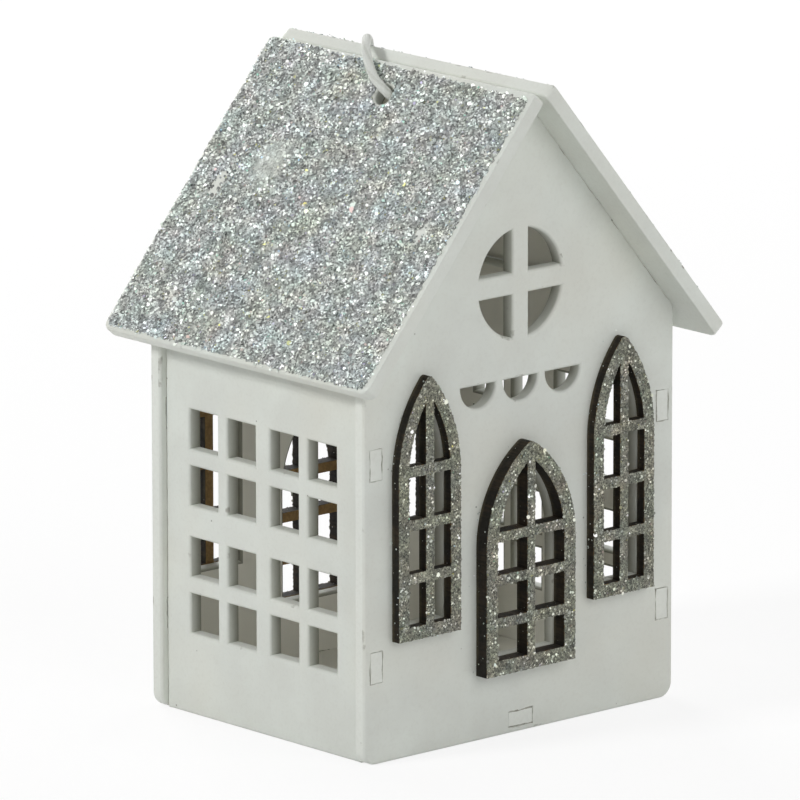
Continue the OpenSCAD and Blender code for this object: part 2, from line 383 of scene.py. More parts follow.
@dataclass(frozen=True)
class WhitePaint:
    """Sprayed white paint on fibreboard, with dust in it and fibres at the cut edges, painted light on the
    faces inside the house and painted shade deep in its openings.
    """

    light: Levels = (226, 230, 223)
    shade: Levels = (219, 222, 215)
    warm: Levels = (224, 223, 211)
    cut: Levels = (235, 238, 231)
    # Painted light: the faces inside the house are painted brighter and warmer than the outside
    inner: Levels = (242, 241, 232)
    # Painted shade, with thin paint: the grey deep in the openings
    hollow_shade: Levels = (136, 136, 122)
    speck: Levels = (118, 114, 104)
    fibre: Levels = (184, 182, 170)
    grime: Levels = (146, 143, 130)
    chip: Levels = (118, 113, 100)
    mottle_per_m: float = 85.0
    tint_per_m: float = 38.0
    grain_per_m: float = 1500.0
    fibres_per_m: float = 1300.0
    specks_per_m: float = 170.0
    grime_per_m: float = 330.0
    wear_per_m: float = 240.0
    ragged_per_m: float = 900.0
    cut_share: float = 0.6
    relief: float = 0.04 * MM
    chip_r: float = 0.5 * MM

    # Down the slope, back along the ridge and above the panel's face, in millimetres
    CHIPS = (
        (Side.LEFT, (0.8, -38.2, -0.1)),
        (Side.RIGHT, (-0.6, -38.2, -0.1)),
        (Side.RIGHT, (47.0, -38.2, -0.1)),
        (Side.RIGHT, (52.0, -38.2, -0.1)),
    )

    def material(self) -> bpy.types.Material:
        """Makes the paint's material.

        Returns:
            The material.
        """
        shader = Shader("white_paint")
        mottle = shader.span(shader.even_noise(self.mottle_per_m, 4), 0.36, 0.64)
        paint = shader.mix(mottle, colour(self.shade), colour(self.light))
        tint = shader.span(shader.even_noise(self.tint_per_m), 0.45, 0.75, 0, 0.5)
        paint = shader.mix(tint, paint, colour(self.warm))
        grain = shader.even_noise(self.grain_per_m, 5)
        paint = shader.mix(shader.span(grain, 0.5, 0.8, 0, 0.12), paint, colour(self.fibre))
        paint = shader.mix(self.dust(shader), paint, colour(self.speck))
        # Painted light: brighter, warmer paint on the faces that look into the house
        paint = shader.mix(self.painted_indoor_light(shader), paint, colour(self.inner))
        cut = shader.mark("cut_edge")
        paint = shader.mix(shader.math("MULTIPLY", cut, self.cut_share), paint, colour(self.cut))
        fibres = shader.even_noise(self.fibres_per_m, 3)
        bare = shader.math("MULTIPLY", cut, shader.span(fibres, 0.45, 0.75, 0, 0.12))
        paint = shader.mix(bare, paint, colour(self.fibre))
        # Painted shade with thin paint: darker deeper in the openings, while faces that look up stay light
        paint = shader.mix(self.openings(shader), paint, colour(self.hollow_shade))
        paint = shader.mix(self.joints(shader), paint, colour(self.grime))
        paint = shader.mix(self.wear(shader), paint, colour(self.chip))
        rough = shader.span(grain, 0.3, 0.7, 0.42, 0.58)
        shader.set(base_color=paint, roughness=rough, specular_ior_level=0.4)
        relief = shader.math("ADD", grain, shader.math("MULTIPLY", cut, fibres))
        shader.bump(relief, self.relief, 0.4)
        return shader.material

    def painted_indoor_light(self, shader: Shader) -> bpy.types.NodeSocket:
        """Share of painted light at a point: the faces inside the house are painted brighter and warmer,
        for the light that fills it.

        Args:
            shader: The paint's nodes.

        Returns:
            The share's output: 1 on the faces that look inwards, within the walls and the gables.
        """
        places = shader.axes(shader.coordinates["Object"])
        share = shader.mark("inner_face")
        limits = {"X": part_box("right_wall")[1].x, "Y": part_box("front_door_frame")[1].y}
        for axis, limit in limits.items():
            within = shader.math("LESS_THAN", shader.math("ABSOLUTE", places[axis]), abs(limit))
            share = shader.math("MULTIPLY", share, within)
        return share

    def openings(self, shader: Shader) -> bpy.types.NodeSocket:
        """Share of painted shade and thin paint at a point: more the deeper it lies in an opening, and
        none on a sill that looks up into the light.

        Args:
            shader: The paint's nodes.

        Returns:
            The share's output.
        """
        upward = shader.axes(shader.coordinates["Normal"])["Z"]
        deep = shader.math("MULTIPLY", shader.mark("in_opening"), shader.span(upward, 0.3, 0.9, 1, 0))
        edge = shader.math("MAXIMUM", shader.mark("cut_edge"), shader.mark("soft_edge"))
        return shader.math("MULTIPLY", deep, edge)

    def dust(self, shader: Shader) -> bpy.types.NodeSocket:
        """Share of dust specks at a point.

        Args:
            shader: The paint's nodes.

        Returns:
            The share's output.
        """
        return shader.span(shader.spots(self.specks_per_m), 0.02, 0.042, 0.8, 0)

    def joints(self, shader: Shader) -> bpy.types.NodeSocket:
        """Share of grime at a point: broken lines where boards meet.

        Args:
            shader: The paint's nodes.

        Returns:
            The share's output.
        """
        broken = shader.span(shader.even_noise(self.grime_per_m, 4), 0.4, 0.62, 0.1, 0.85)
        return shader.math("MULTIPLY", shader.mark("joint_line"), broken)

    def wear(self, shader: Shader) -> bpy.types.NodeSocket:
        """Share of bare board at a point: chips at roof corners, and small ones along soft edges.

        Args:
            shader: The paint's nodes.

        Returns:
            The share's output.
        """
        marks = shader.span(shader.even_noise(self.wear_per_m, 5), 0.64, 0.72, 0, 0.6)
        share = shader.math("MULTIPLY", shader.mark("soft_edge"), marks)
        ragged = shader.span(shader.even_noise(self.ragged_per_m, 3), 0.3, 0.7, 0.55, 1.5)
        for side, place in self.CHIPS:
            away = shader.math("MULTIPLY", shader.distance(roof_point(side, place)), ragged)
            bare = shader.span(away, 0.5 * self.chip_r, self.chip_r, 0.8, 0)
            share = shader.math("MAXIMUM", share, bare)
        return share


@dataclass(frozen=True)
class CharredBoard:
    """Bare fibreboard that the laser has charred at its cut edges."""

    char: Levels = (24, 21, 15)
    brown: Levels = (66, 53, 36)
    board: Levels = (140, 113, 74)
    fibre: Levels = (168, 138, 94)
    glint: Levels = (196, 196, 186)
    seam: Levels = (104, 97, 78)
    seam_reach: float = 0.9 * MM
    streaks_per_m: tuple[float, float, float] = (2400.0, 160.0, 2400.0)
    patches_per_m: float = 190.0
    glints_per_m: float = 620.0
    fibres_per_m: float = 1700.0
    relief: float = 0.08 * MM

    def material(self) -> bpy.types.Material:
        """Makes the board's material.

        Returns:
            The material.
        """
        shader = Shader("charred_board")
        streaks = shader.noise(self.streaks_per_m, 3)
        patches = shader.even_noise(self.patches_per_m, 3)
        fibres = shader.even_noise(self.fibres_per_m, 5)
        bare = shader.mix(shader.span(fibres, 0.35, 0.7), colour(self.board), colour(self.fibre))
        facing = shader.math("ABSOLUTE", shader.axes(shader.coordinates["Normal"])["Y"])
        flat = shader.span(facing, 0.7, 0.9)
        shader.set(
            base_color=shader.mix(flat, self.cut_edge(shader, streaks, patches), bare),
            roughness=shader.span(fibres, 0.3, 0.7, 0.62, 0.85),
            specular_ior_level=0.3,
        )
        shader.bump(shader.math("ADD", streaks, fibres), self.relief, 0.6)
        return shader.material

    def cut_edge(
        self, shader: Shader, streaks: bpy.types.NodeSocket, patches: bpy.types.NodeSocket
    ) -> bpy.types.NodeSocket:
        """Colour of the cut edges: burnt brown, with glints and a paler seam at the gable.

        Args:
            shader: The board's nodes.
            streaks: Noise along the cut.
            patches: Broad noise.

        Returns:
            The colour's output.
        """
        streaked = shader.math("MULTIPLY", streaks, 0.5)
        burn = shader.math("ADD", streaked, shader.math("MULTIPLY", patches, 0.6))
        edge = shader.mix(shader.span(burn, 0.52, 0.82), colour(self.char), colour(self.brown))
        glints = shader.span(shader.spots(self.glints_per_m), 0.05, 0.09, 0.7, 0)
        edge = shader.mix(glints, edge, colour(self.glint))
        depth = shader.math("ABSOLUTE", shader.axes(shader.coordinates["Object"])["Y"])
        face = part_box("back_door_frame")[0].y
        near = shader.span(depth, face, face + self.seam_reach, 0.75, 0)
        seam = shader.math("MULTIPLY", near, shader.span(patches, 0.3, 0.6))
        return shader.mix(seam, edge, colour(self.seam))


@dataclass(frozen=True)
class SilverGlitter:
    """Silver flakes in clear glue. Each grain has its own grey and tint, painted sparkle that stands in
    for the light each tilted grain catches.
    """

    metallic: float = 0.45
    film_per_m: float = 5200.0

    def material(self) -> bpy.types.Material:
        """Makes the glitter's material.

        Returns:
            The material.
        """
        shader = Shader("silver_glitter")
        film = shader.even_noise(self.film_per_m)
        shader.set(
            # Painted sparkle: each grain's grey and tint
            base_color=shader.attribute("sparkle")["Color"],
            metallic=self.metallic,
            roughness=shader.span(film, 0.3, 0.7, 0.4, 0.6),
        )
        return shader.material


@dataclass(frozen=True)
class CottonCord:
    """Off-white twisted cotton, with fine fibres along its lay and painted shade in the grooves between
    its strands.
    """

    light: Levels = (222, 225, 219)
    # Painted shade: the tone in the grooves between the strands
    groove_shade: Levels = (176, 178, 168)
    strands: float = 3.0
    turns: float = 0.55
    fibres_per_m: float = 4200.0
    relief: float = 0.05 * MM

    def material(self) -> bpy.types.Material:
        """Makes the cord's material.

        Returns:
            The material.
        """
        shader = Shader("cotton_cord")
        lay = shader.axes(shader.attribute("strand")["Vector"])
        around = shader.math("MULTIPLY", lay["X"], self.strands)
        along = shader.math("MULTIPLY", lay["Y"], self.turns)
        angle = shader.math("MULTIPLY", shader.math("ADD", around, along), 2 * math.pi)
        wave = shader.math("SINE", angle)
        fibres = shader.even_noise(self.fibres_per_m, 4)
        # Painted shade in the grooves, where the strands' wave is low
        groove_shade = shader.math("MULTIPLY", shader.span(wave, -1, -0.2, 1, 0), 0.35)
        groove_shade_and_fibres = shader.math("ADD", groove_shade, shader.span(fibres, 0.45, 0.8, 0, 0.35))
        shader.set(
            base_color=shader.mix(groove_shade_and_fibres, colour(self.light), colour(self.groove_shade)),
            roughness=shader.span(fibres, 0.3, 0.7, 0.7, 0.9),
            sheen_weight=0.2,
            specular_ior_level=0.25,
        )
        shader.bump(shader.math("ADD", wave, fibres), self.relief, 0.5)
        return shader.material


@dataclass(frozen=True)
class Plate:
    """The upper face of a board or a coat, with its own axes: across, along and out."""

    origin: Vector
    across: Vector
    along: Vector
    out: Vector

    def matrix(self) -> Matrix:
        """Place and turn of the plate in the house."""
        turn = Matrix((self.across, self.along, self.out)).transposed().to_4x4()
        return Matrix.Translation(self.origin) @ turn


def roof_plate(side: Side) -> Plate:
    """The upper face of a roof panel.

    Args:
        side: The side of the roof.

    Returns:
        The plate: across is down the slope from the gables' peak, along the ridge.
    """
    sign = side.value
    across = Vector((sign * math.cos(PITCH), 0, -math.sin(PITCH)))
    out = Vector((sign * math.sin(PITCH), 0, math.cos(PITCH)))
    return Plate(PEAK + BOARD_T * out, across, Vector((0, sign, 0)), out)


def frame_plate(face: Face, node: str) -> Plate:
    """The outer face of a glued frame.

    Args:
        face: The gable that carries it.
        node: The frame's node.

    Returns:
        The plate: across is to the right as one looks at the gable, along is up.
    """
    low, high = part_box(node)
    origin = Vector((0, low.y if face is Face.FRONT else high.y, 0))
    across = Vector((-face.value, 0, 0))
    return Plate(origin, across, Vector((0, 0, 1)), Vector((0, face.value, 0)))


def flat_plate(node: str, out: Vector) -> Plate:
    """The flat face of a board that stands or lies square to the axes.

    Args:
        node: The board's node.
        out: Direction of the face.

    Returns:
        The plate.
    """
    reach = max(corner.dot(out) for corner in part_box(node))
    across = Vector((1, 0, 0)) if out.z else Vector((0, 0, 1)).cross(out)
    return Plate(reach * out, across, out.cross(across), out)


def outline(node: str, plate: Plate) -> list[np.ndarray]:
    """The loops round the face of a node that lies on a plate, with the material on their left.

    Args:
        node: The node.
        plate: The plate.

    Returns:
        The loops' points in the plate's axes.
    """
    work = bmesh.new()
    work.from_mesh(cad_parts[node].data)
    bmesh.ops.transform(work, matrix=plate.matrix().inverted(), verts=work.verts)
    bmesh.ops.remove_doubles(work, verts=work.verts, dist=MERGE)
    work.normal_update()
    work.verts.index_update()
    upper = [face for face in work.faces if face.normal.z > FACES_UP]
    known = set(upper)
    following = {}
    for face in upper:
        for corner in face.loops:
            if not known.issuperset(corner.edge.link_faces):
                following[corner.vert.index] = corner.link_loop_next.vert.index
    places = np.array([vert.co.xy for vert in work.verts])
    work.free()
    loops = []
    while following:
        first, vertex = following.popitem()
        ring = [first]
        while vertex != first:
            ring.append(vertex)
            vertex = following.pop(vertex)
        loops.append(places[ring])
    return loops


def inside(points: np.ndarray, loops: list[np.ndarray]) -> np.ndarray:
    """Finds the points inside an outline with holes, by counting its crossings.

    Args:
        points: Points, two numbers each.
        loops: Closed loops of points, the holes among them.

    Returns:
        Whether each point lies inside.
    """
    found = np.zeros(len(points), bool)
    x, y = points.T
    for loop in loops:
        for (x0, y0), (x1, y1) in zip(loop, np.roll(loop, -1, axis=0)):
            if y0 != y1:
                found ^= ((y0 > y) != (y1 > y)) & (x < x0 + (y - y0) * (x1 - x0) / (y1 - y0))
    return found


@dataclass(frozen=True)
class ThinPatch:
    """A place on a coat where the glitter is thin, as an oval in the plate's axes."""

    across: float
    along: float
    half_across: float
    half_along: float
    strength: float
    firmness: float = 1.6

    def share(self, points: np.ndarray) -> np.ndarray:
        """How much of the glitter is missing at each point.

        Args:
            points: Points in the plate's axes.

        Returns:
            Shares from 0 to strength.
        """
        reach = np.hypot(
            (points[:, 0] - self.across) / self.half_across,
            (points[:, 1] - self.along) / self.half_along,
        )
        return self.strength * np.clip(self.firmness * (1 - reach), 0, 1)


@dataclass(frozen=True)
class CornerPull:
    """Shifts of a coat's four corners in the plate's axes, for a coat that lies unevenly."""

    shifts: tuple[tuple[float, float], ...] = ((0.0, 0.0),) * 4

    def moved(self, loop: np.ndarray) -> np.ndarray:
        """Moves a border with its corners.

        Args:
            loop: The border's points.

        Returns:
            The moved points. The shifts count for low across and low along, low and high, high
            and low, and high and high.
        """
        across, along = ((loop - loop.min(0)) / np.ptp(loop, axis=0)).T[:, :, None]
        a, b, c, d = np.array(self.shifts)
        low, high = (1 - along) * a + along * b, (1 - along) * c + along * d
        return loop + (1 - across) * low + across * high


@dataclass(frozen=True)
class DustedTab:
    """The end of a tab in a coat, with stray flakes over its borders."""

    across: float
    along: float
    half_across: float
    half_along: float
    flakes: int
    gather_along: float
    gather_across: float = 0.7

    def scatter(self, rng: np.random.Generator) -> np.ndarray:
        """Places of the stray flakes.

        Args:
            rng: The coat's random numbers.

        Returns:
            Points in the plate's axes, more of them near the tab's borders.
        """
        share = rng.uniform(-1, 1, (self.flakes, 2))
        share = np.sign(share) * np.abs(share) ** np.array([self.gather_across, self.gather_along])
        return np.array([self.across, self.along]) + share * np.array([self.half_across, self.half_along])


class SoftPatches:
    """Soft patches over a plate, about 0, from waves in chance directions."""

    WAVES = 48
    LENGTHS = (0.4, 2.4)

    def __init__(self, length: float) -> None:
        """Draws the waves.

        Args:
            length: About the length of a wave. Patches of one length are always the same.
        """
        rng = np.random.default_rng(round(length / MM * 100))
        turns = rng.uniform(0, 2 * math.pi, self.WAVES)
        lengths = length * rng.uniform(*self.LENGTHS, self.WAVES)
        self.ways = np.array([np.cos(turns), np.sin(turns)]) / lengths
        self.starts = rng.random(self.WAVES)

    def at(self, places: np.ndarray) -> np.ndarray:
        """The patches' value at each place, mostly between -2 and 2."""
        waves = np.cos(2 * math.pi * (places[:, :2] @ self.ways + self.starts))
        return waves.sum(1) / math.sqrt(self.WAVES / 2)


@dataclass(frozen=True)
class GrainTone:
    """Greys of one kind of grain, as painted sparkle: brighter grains stand in for flakes that catch the
    light. The curve holds shares of the grains and 8-bit levels.
    """

    curve: Curve
    cast: tuple[float, float, float]
    tint_share: float
    fine_patch: float = 0.055
    broad_patch: float = 0.035
    hue_patch: float = 0.012

    FINE, BROAD, RED, BLUE = (2.2 * MM, 4.4 * MM, 6.4 * MM, 7.1 * MM)
    TINTS = ((1.0, 0.97, 0.6), (0.78, 0.88, 1.0), (0.76, 1.0, 0.93), (1.0, 0.86, 0.86), (0.9, 0.85, 1.0))
    TINT_SPAN = (0.2, 1.0)

    def draw(self, places: np.ndarray, rng: np.random.Generator) -> np.ndarray:
        """Draws a linear colour for each grain.

        Args:
            places: The grains' places in the plate's axes.
            rng: The coat's random numbers.

        Returns:
            Colours of three numbers.
        """
        count = len(places)
        shares, levels = zip(*self.curve)
        greys = np.interp(rng.random(count), shares, levels)
        greys = greys * (1 + self.fine_patch * SoftPatches(self.FINE).at(places))
        greys = greys * (1 + self.broad_patch * SoftPatches(self.BROAD).at(places))
        tints = np.array(self.TINTS)[rng.integers(0, len(self.TINTS), count)]
        tinted = (rng.random(count) < self.tint_share)[:, None]
        strength = rng.uniform(*self.TINT_SPAN, count)[:, None]
        factors = np.where(tinted, 1 + (tints - 1) * strength, 1.0) * np.array(self.cast)
        for channel, length in ((0, self.RED), (2, self.BLUE)):
            factors[:, channel] *= 1 + self.hue_patch * SoftPatches(length).at(places)
        return to_linear(np.clip(greys[:, None] * factors, 0, 255))


ROOF_CAST = (0.969, 1.0, 0.976)


@dataclass(frozen=True)
class GlitterTone:
    """Tones of a coat: its bed, its loose flakes, stray flakes beside it and bare glue."""

    bed: GrainTone
    flakes: GrainTone
    strays: GrainTone = GrainTone(((0, 200), (1, 255)), ROOF_CAST, 0.02)
    thin: Levels = (204, 210, 202)


# Painted sparkle: the greys and tints of the grains stand in for the light that the flakes catch
ROOF_TONE = GlitterTone(
    bed=GrainTone(((0, 84), (0.25, 123), (0.5, 147), (0.75, 171), (0.95, 209), (1, 242)), ROOF_CAST, 0.04),
    flakes=GrainTone(((0, 176), (0.4, 216), (0.8, 241), (1, 255)), ROOF_CAST, 0.03),
)
FRAME_TONE = GlitterTone(
    bed=GrainTone(((0, 62), (0.3, 97), (0.6, 119), (0.9, 143), (1, 175)), (0.992, 1.0, 0.895), 0.02),
    flakes=GrainTone(((0, 118), (0.4, 170), (0.8, 222), (1, 252)), (0.99, 1.0, 0.94), 0.03),
)


@dataclass
class MeshParts:
    """Points, faces, colours and map places of a mesh that is put together from parts."""

    points: list[np.ndarray] = field(default_factory=list)
    faces: list[list[int]] = field(default_factory=list)
    colours: list[np.ndarray] = field(default_factory=list)
    places: list[np.ndarray] = field(default_factory=list)
    count: int = 0

    def add(self, points: np.ndarray, faces: np.ndarray, colours: np.ndarray, places: np.ndarray) -> None:
        """Adds faces of one size.

        Args:
            points: New points that the faces count from, which may be none.
            faces: Faces as rows of point numbers. They count from the first new point, or,
                where there are none, from the first of all.
            colours: A colour for each face.
            places: A map place for each corner of each face.
        """
        start = self.count if len(points) else 0
        self.points.append(points.reshape(-1, 3))
        self.faces.extend((faces + start).tolist())
        self.colours.append(colours)
        self.places.append(places.reshape(-1, 2))
        self.count += len(points)

    def mesh(self, name: str, matrix: Matrix) -> bpy.types.Mesh:
        """Makes the mesh.

        Args:
            name: Its name.
            matrix: Place and turn of the parts' own axes.

        Returns:
            The mesh, in place.
        """
        made = bpy.data.meshes.new(name)
        made.from_pydata(np.concatenate(self.points).tolist(), [], self.faces)
        made.transform(matrix)
        tones = np.concatenate(self.colours)
        tones = np.c_[tones, np.ones(len(tones))].astype(np.float32)
        made.attributes.new("sparkle", "FLOAT_COLOR", "FACE").data.foreach_set("color", tones.ravel())
        layer = made.uv_layers.new(name=BAKE_MAP)
        layer.uv.foreach_set("vector", np.concatenate(self.places).astype(np.float32).ravel())
        return made


class Flakes(NamedTuple):
    """A batch of loose flakes in a plate's axes."""

    places: np.ndarray
    normals: np.ndarray
    radii: np.ndarray
    tones: np.ndarray


def filled(
    points: np.ndarray, edges: list[list[int]], loops: list[np.ndarray]
) -> tuple[np.ndarray, np.ndarray]:
    """Fills borders with triangles between points.

    Args:
        points: The points, the borders' among them.
        edges: The borders' edges, as pairs of point numbers.
        loops: The borders.

    Returns:
        The points, and the triangles inside the borders, counter-clockwise.
    """
    units = [Vector(place) for place in (points / MM).tolist()]
    found = delaunay_2d_cdt(units, edges, [], INSIDE_ONLY, SNAP, False)
    flat = np.array([place[:] for place in found[0]]) * MM
    triangles = np.array(found[2])
    return flat, triangles[inside(flat[triangles].mean(1), loops)]


def loop_edges(loops: list[np.ndarray]) -> np.ndarray:
    """The edges of loops whose points are counted one loop after the other.

    Args:
        loops: The loops' points.

    Returns:
        The edges, as rows of two point numbers.
    """
    ends = np.cumsum([len(loop) for loop in loops])
    numbers = [np.arange(end - len(loop), end) for loop, end in zip(loops, ends)]
    return np.concatenate([np.c_[row, np.roll(row, -1)] for row in numbers])


def add_mark(mesh: bpy.types.Mesh, name: str, domain: str, values: np.ndarray) -> None:
    """Gives a mesh an attribute of plain numbers for its finish.

    Args:
        mesh: The mesh.
        name: The attribute's name.
        domain: What carries it: points or faces.
        values: A number for each of them.
    """
    layer = mesh.attributes.new(name, "FLOAT", domain)
    layer.data.foreach_set("value", values.astype(np.float32).ravel())


@dataclass
class BoardSet:
    """Boards cut to the frame's own outlines, with rounded edges that fade out at their joints."""

    material: bpy.types.Material
    slot: Slot
    plates: dict[str, Plate]
    thickness: dict[str, float]
    edge_r: float
    step: float = 1.2 * MM
    segments: int = 3
    corner: float = math.radians(30)

    # Boards whose cut edges show less, and how much they show
    dull: tuple[str, ...] = ()
    dull_share: float = 0.4

    # The largest radius at the front ends of the roof, and how far back these reach
    crisp_r: float = 0.25 * MM
    crisp_reach: float = 0.4 * MM

    # An edge that another board meets: its radius, how near that is, and how the radius varies
    joint_r: float = 0.13 * MM
    joint_reach: float = 0.3 * MM
    joint_wave: float = 2.3 * MM
    joint_swing: float = 0.6
    joint_span: tuple[float, float] = (0.2, 1.6)

    # The largest radius that counts as a joint's, in joint radii, and its growth along the edge
    joint_mark: float = 1.7
    fade: float = 0.3

    # Paint in a slot: its points' spacing, the least gap, and how far it fills the slot
    slot_step: float = 0.45 * MM
    slot_crack: float = 0.012 * MM
    slot_wave: float = 1.9 * MM
    slot_fill: float = 0.75
    slot_swing: float = 0.8

    # Share of painted shade and thin paint at an opening's rim and deeper in
    rim_shade: float = 0.3
    deep_shade: float = 0.85

    MIDDLE = Vector((0, 0, 50 * MM))

    def build(self) -> None:
        """Builds and dresses every board of the set."""
        trees = {node: self.tree(node) for node in self.plates}
        for node, plate in self.plates.items():
            others = [tree for name, tree in trees.items() if name != node]
            board = new_object(node + "_board", self.mesh(node, plate, others))
            board.data.materials.append(self.material)
            self.smooth(board)
            hand_over(board, node)

    def tree(self, node: str) -> BVHTree:
        """A search tree of one of the frame's nodes."""
        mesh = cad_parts[node].data
        return BVHTree.FromPolygons([v.co for v in mesh.vertices], [p.vertices for p in mesh.polygons])

    def met(self, spot: Vector, others: list[BVHTree]) -> tuple[Vector, float] | None:
        """Finds where another board meets this one.

        Args:
            spot: A point of this board.
            others: Search trees of the other boards.

        Returns:
            The nearest point of the others and its distance, or none beyond a joint's reach.
        """
        found = [tree.find_nearest(spot, self.joint_reach) for tree in others]
        near = [(place, gap) for place, _, _, gap in found if place is not None]
        return min(near, key=lambda each: each[1], default=None)

    def divided(self, loop: np.ndarray, step: float) -> np.ndarray:
        """A loop with points no further apart than a step.

        Args:
            loop: The loop's points.
            step: The most that two points may lie apart.

        Returns:
            The points, with more of them on long edges.
        """
        found = []
        for start, end in zip(loop, np.roll(loop, -1, axis=0)):
            count = math.ceil(np.linalg.norm(end - start) / step)
            found.append(start + (end - start) * np.arange(count)[:, None] / count)
        return np.concatenate(found)

    def painted(self, loop: np.ndarray, depth: float, plate: Plate, others: list[BVHTree]) -> np.ndarray:
        """A loop with its points set for the mesh. Paint narrows a slot's gap to a crack in places.

        Args:
            loop: The loop's corners.
            depth: Depth of the board's middle below the plate.
            plate: The board's plate.
            others: Search trees of the other boards.

        Returns:
            The points.
        """
        place = plate.matrix()
        back = place.inverted()
        points = self.divided(loop, self.slot_step)
        spots = [place @ Vector((*point, -depth)) for point in points]
        near = [self.met(spot, others) for spot in spots]
        if None in near:
            return self.divided(loop, self.step)
        uneven = SoftPatches(self.slot_wave).at(points)
        fill = np.clip(self.slot_fill + self.slot_swing * uneven, 0, 1)
        moves = np.array([(back @ found - back @ spot).xy for (found, _), spot in zip(near, spots)])
        gaps = np.maximum([gap for _, gap in near], self.slot_crack)
        return points + moves * (fill * (1 - self.slot_crack / gaps))[:, None]

    def radii(self, loop: np.ndarray, depth: float, plate: Plate, others: list[BVHTree]) -> np.ndarray:
        """The edge's radius at each point of a loop, small where another board meets it.

        Args:
            loop: The loop's points.
            depth: The edge's depth below the plate.
            plate: The board's plate.
            others: Search trees of the other boards.

        Returns:
            The radii.
        """
        place = plate.matrix()
        uneven = 1 + self.joint_swing * SoftPatches(self.joint_wave).at(loop + depth)
        found = []
        for point, share in zip(loop, np.clip(uneven, *self.joint_span)):
            spot = place @ Vector((*point, -depth))
            is_front = spot.y < CAD_BOX[0][1] + self.crisp_reach
            free = min(self.edge_r, self.crisp_r) if is_front else self.edge_r
            found.append(self.joint_r * share if self.met(spot, others) else free)
        steps = np.linalg.norm(loop - np.roll(loop, 1, axis=0), axis=1)
        for way in (1, -1, 1, -1):
            for i in range(len(loop))[::way]:
                gap = steps[i if way > 0 else (i + 1) % len(loop)]
                found[i] = min(found[i], found[(i - way) % len(loop)] + self.fade * gap)
        return np.array(found)

    def rings(self, loop: np.ndarray, tops: np.ndarray, lows: np.ndarray, thickness: float) -> np.ndarray:
        """Rows of points over a board's edge, from its upper face to its lower one.

        Args:
            loop: The outline's points.
            tops: Radius of the upper edge at each point.
            lows: Radius of the lower edge at each point.
            thickness: The board's thickness.

        Returns:
            The rows' points in the plate's axes.
        """
        way = np.roll(loop, -1, axis=0) - loop
        after = np.c_[-way[:, 1], way[:, 0]] / np.linalg.norm(way, axis=1)[:, None]
        before = np.roll(after, 1, axis=0)
        inward = (before + after) / (1 + (before * after).sum(1))[:, None]
        rows = []
        for turn in np.linspace(0, math.pi / 2, self.segments + 1):
            inset, drop = 1 - math.sin(turn), 1 - math.cos(turn)
            upper = np.c_[loop + inward * (inset * tops)[:, None], -drop * tops]
            lower = np.c_[loop + inward * (inset * lows)[:, None], drop * lows - thickness]
            rows.insert(len(rows) // 2, lower)
            rows.insert(len(rows) // 2, upper)
        return np.array(rows)

    def mesh(self, node: str, plate: Plate, others: list[BVHTree]) -> bpy.types.Mesh:
        """Makes a board's mesh and marks its faces, points and edges.

        Args:
            node: The board's node.
            plate: Its upper face.
            others: Search trees of the other boards.

        Returns:
            The mesh, in place.
        """
        thickness = self.thickness[node]
        loops = [self.painted(loop, thickness / 2, plate, others) for loop in outline(node, plate)]
        tops = [self.radii(loop, 0, plate, others) for loop in loops]
        lows = [self.radii(loop, thickness, plate, others) for loop in loops]
        rows = np.concatenate([self.rings(*each, thickness) for each in zip(loops, tops, lows)], 1)
        count, width = rows.shape[:2]
        edges = loop_edges(loops)
        a, b = edges.T
        walls = [np.c_[a, a + width, b + width, b] + row * width for row in range(count - 1)]
        caps = [self.cap(rows[row, :, :2], edges, loops) for row in (0, -1)]
        faces = [*np.concatenate(walls).tolist(), *caps[0].tolist()]
        faces += (caps[1][:, ::-1] + (count - 1) * width).tolist()
        made = bpy.data.meshes.new(node)
        made.from_pydata(rows.reshape(-1, 3).tolist(), [], faces)
        made.transform(plate.matrix())
        radii = [np.concatenate(each)[edges].min(1) for each in (tops, lows)]
        looks_in = plate.out.dot(self.MIDDLE - plate.origin) > 0
        inner = np.repeat([looks_in, not looks_in], [len(each) for each in caps])
        self.mark_faces(made, radii, inner, self.dull_share if node in self.dull else 1.0)
        self.mark_openings(made, loops, count)
        self.mark_corners(made, loops, count)
        return made

    def mark_faces(
        self, mesh: bpy.types.Mesh, radii: list[np.ndarray], inner: np.ndarray, cut: float
    ) -> None:
        """Marks the cut edges, their rounded borders, the joints and the faces that look inwards.

        Args:
            mesh: The board's mesh. Its flat faces follow those of its edge.
            radii: The upper and the lower border's radius at each edge of the outline.
            inner: Whether each flat face looks into the house.
            cut: Strength of the cut edges' mark.
        """
        bands = np.arange(2 * self.segments + 1)[:, None]
        is_wall = np.repeat(bands == self.segments, len(radii[0]), 1)
        joints = np.where(bands < self.segments, *radii) < self.joint_mark * self.joint_r
        flats = np.zeros(len(inner), bool)
        marks = {
            "cut_edge": np.r_[is_wall.ravel(), flats] * cut,
            "soft_edge": np.r_[~is_wall.ravel(), flats],
            "joint_line": np.r_[(joints & ~is_wall).ravel(), flats],
            "inner_face": np.r_[np.zeros(is_wall.size, bool), inner],
        }
        for name, marked in marks.items():
            add_mark(mesh, name, "FACE", marked)

    def mark_openings(self, mesh: bpy.types.Mesh, loops: list[np.ndarray], rows: int) -> None:
        """Marks how deep each point lies in an opening, for the painted shade and thin paint there.

        Args:
            mesh: The board's mesh.
            loops: The outline's loops.
            rows: The mesh's rows of points.
        """
        outer = max(range(len(loops)), key=lambda k: np.ptp(loops[k], axis=0).sum())
        opened = np.concatenate([np.full(len(loop), k != outer) for k, loop in enumerate(loops)])
        half = rows // 2
        depths = np.arange(rows) / half * self.rim_shade
        depths[half:] = self.deep_shade
        add_mark(mesh, "in_opening", "POINT", np.outer(depths, opened))

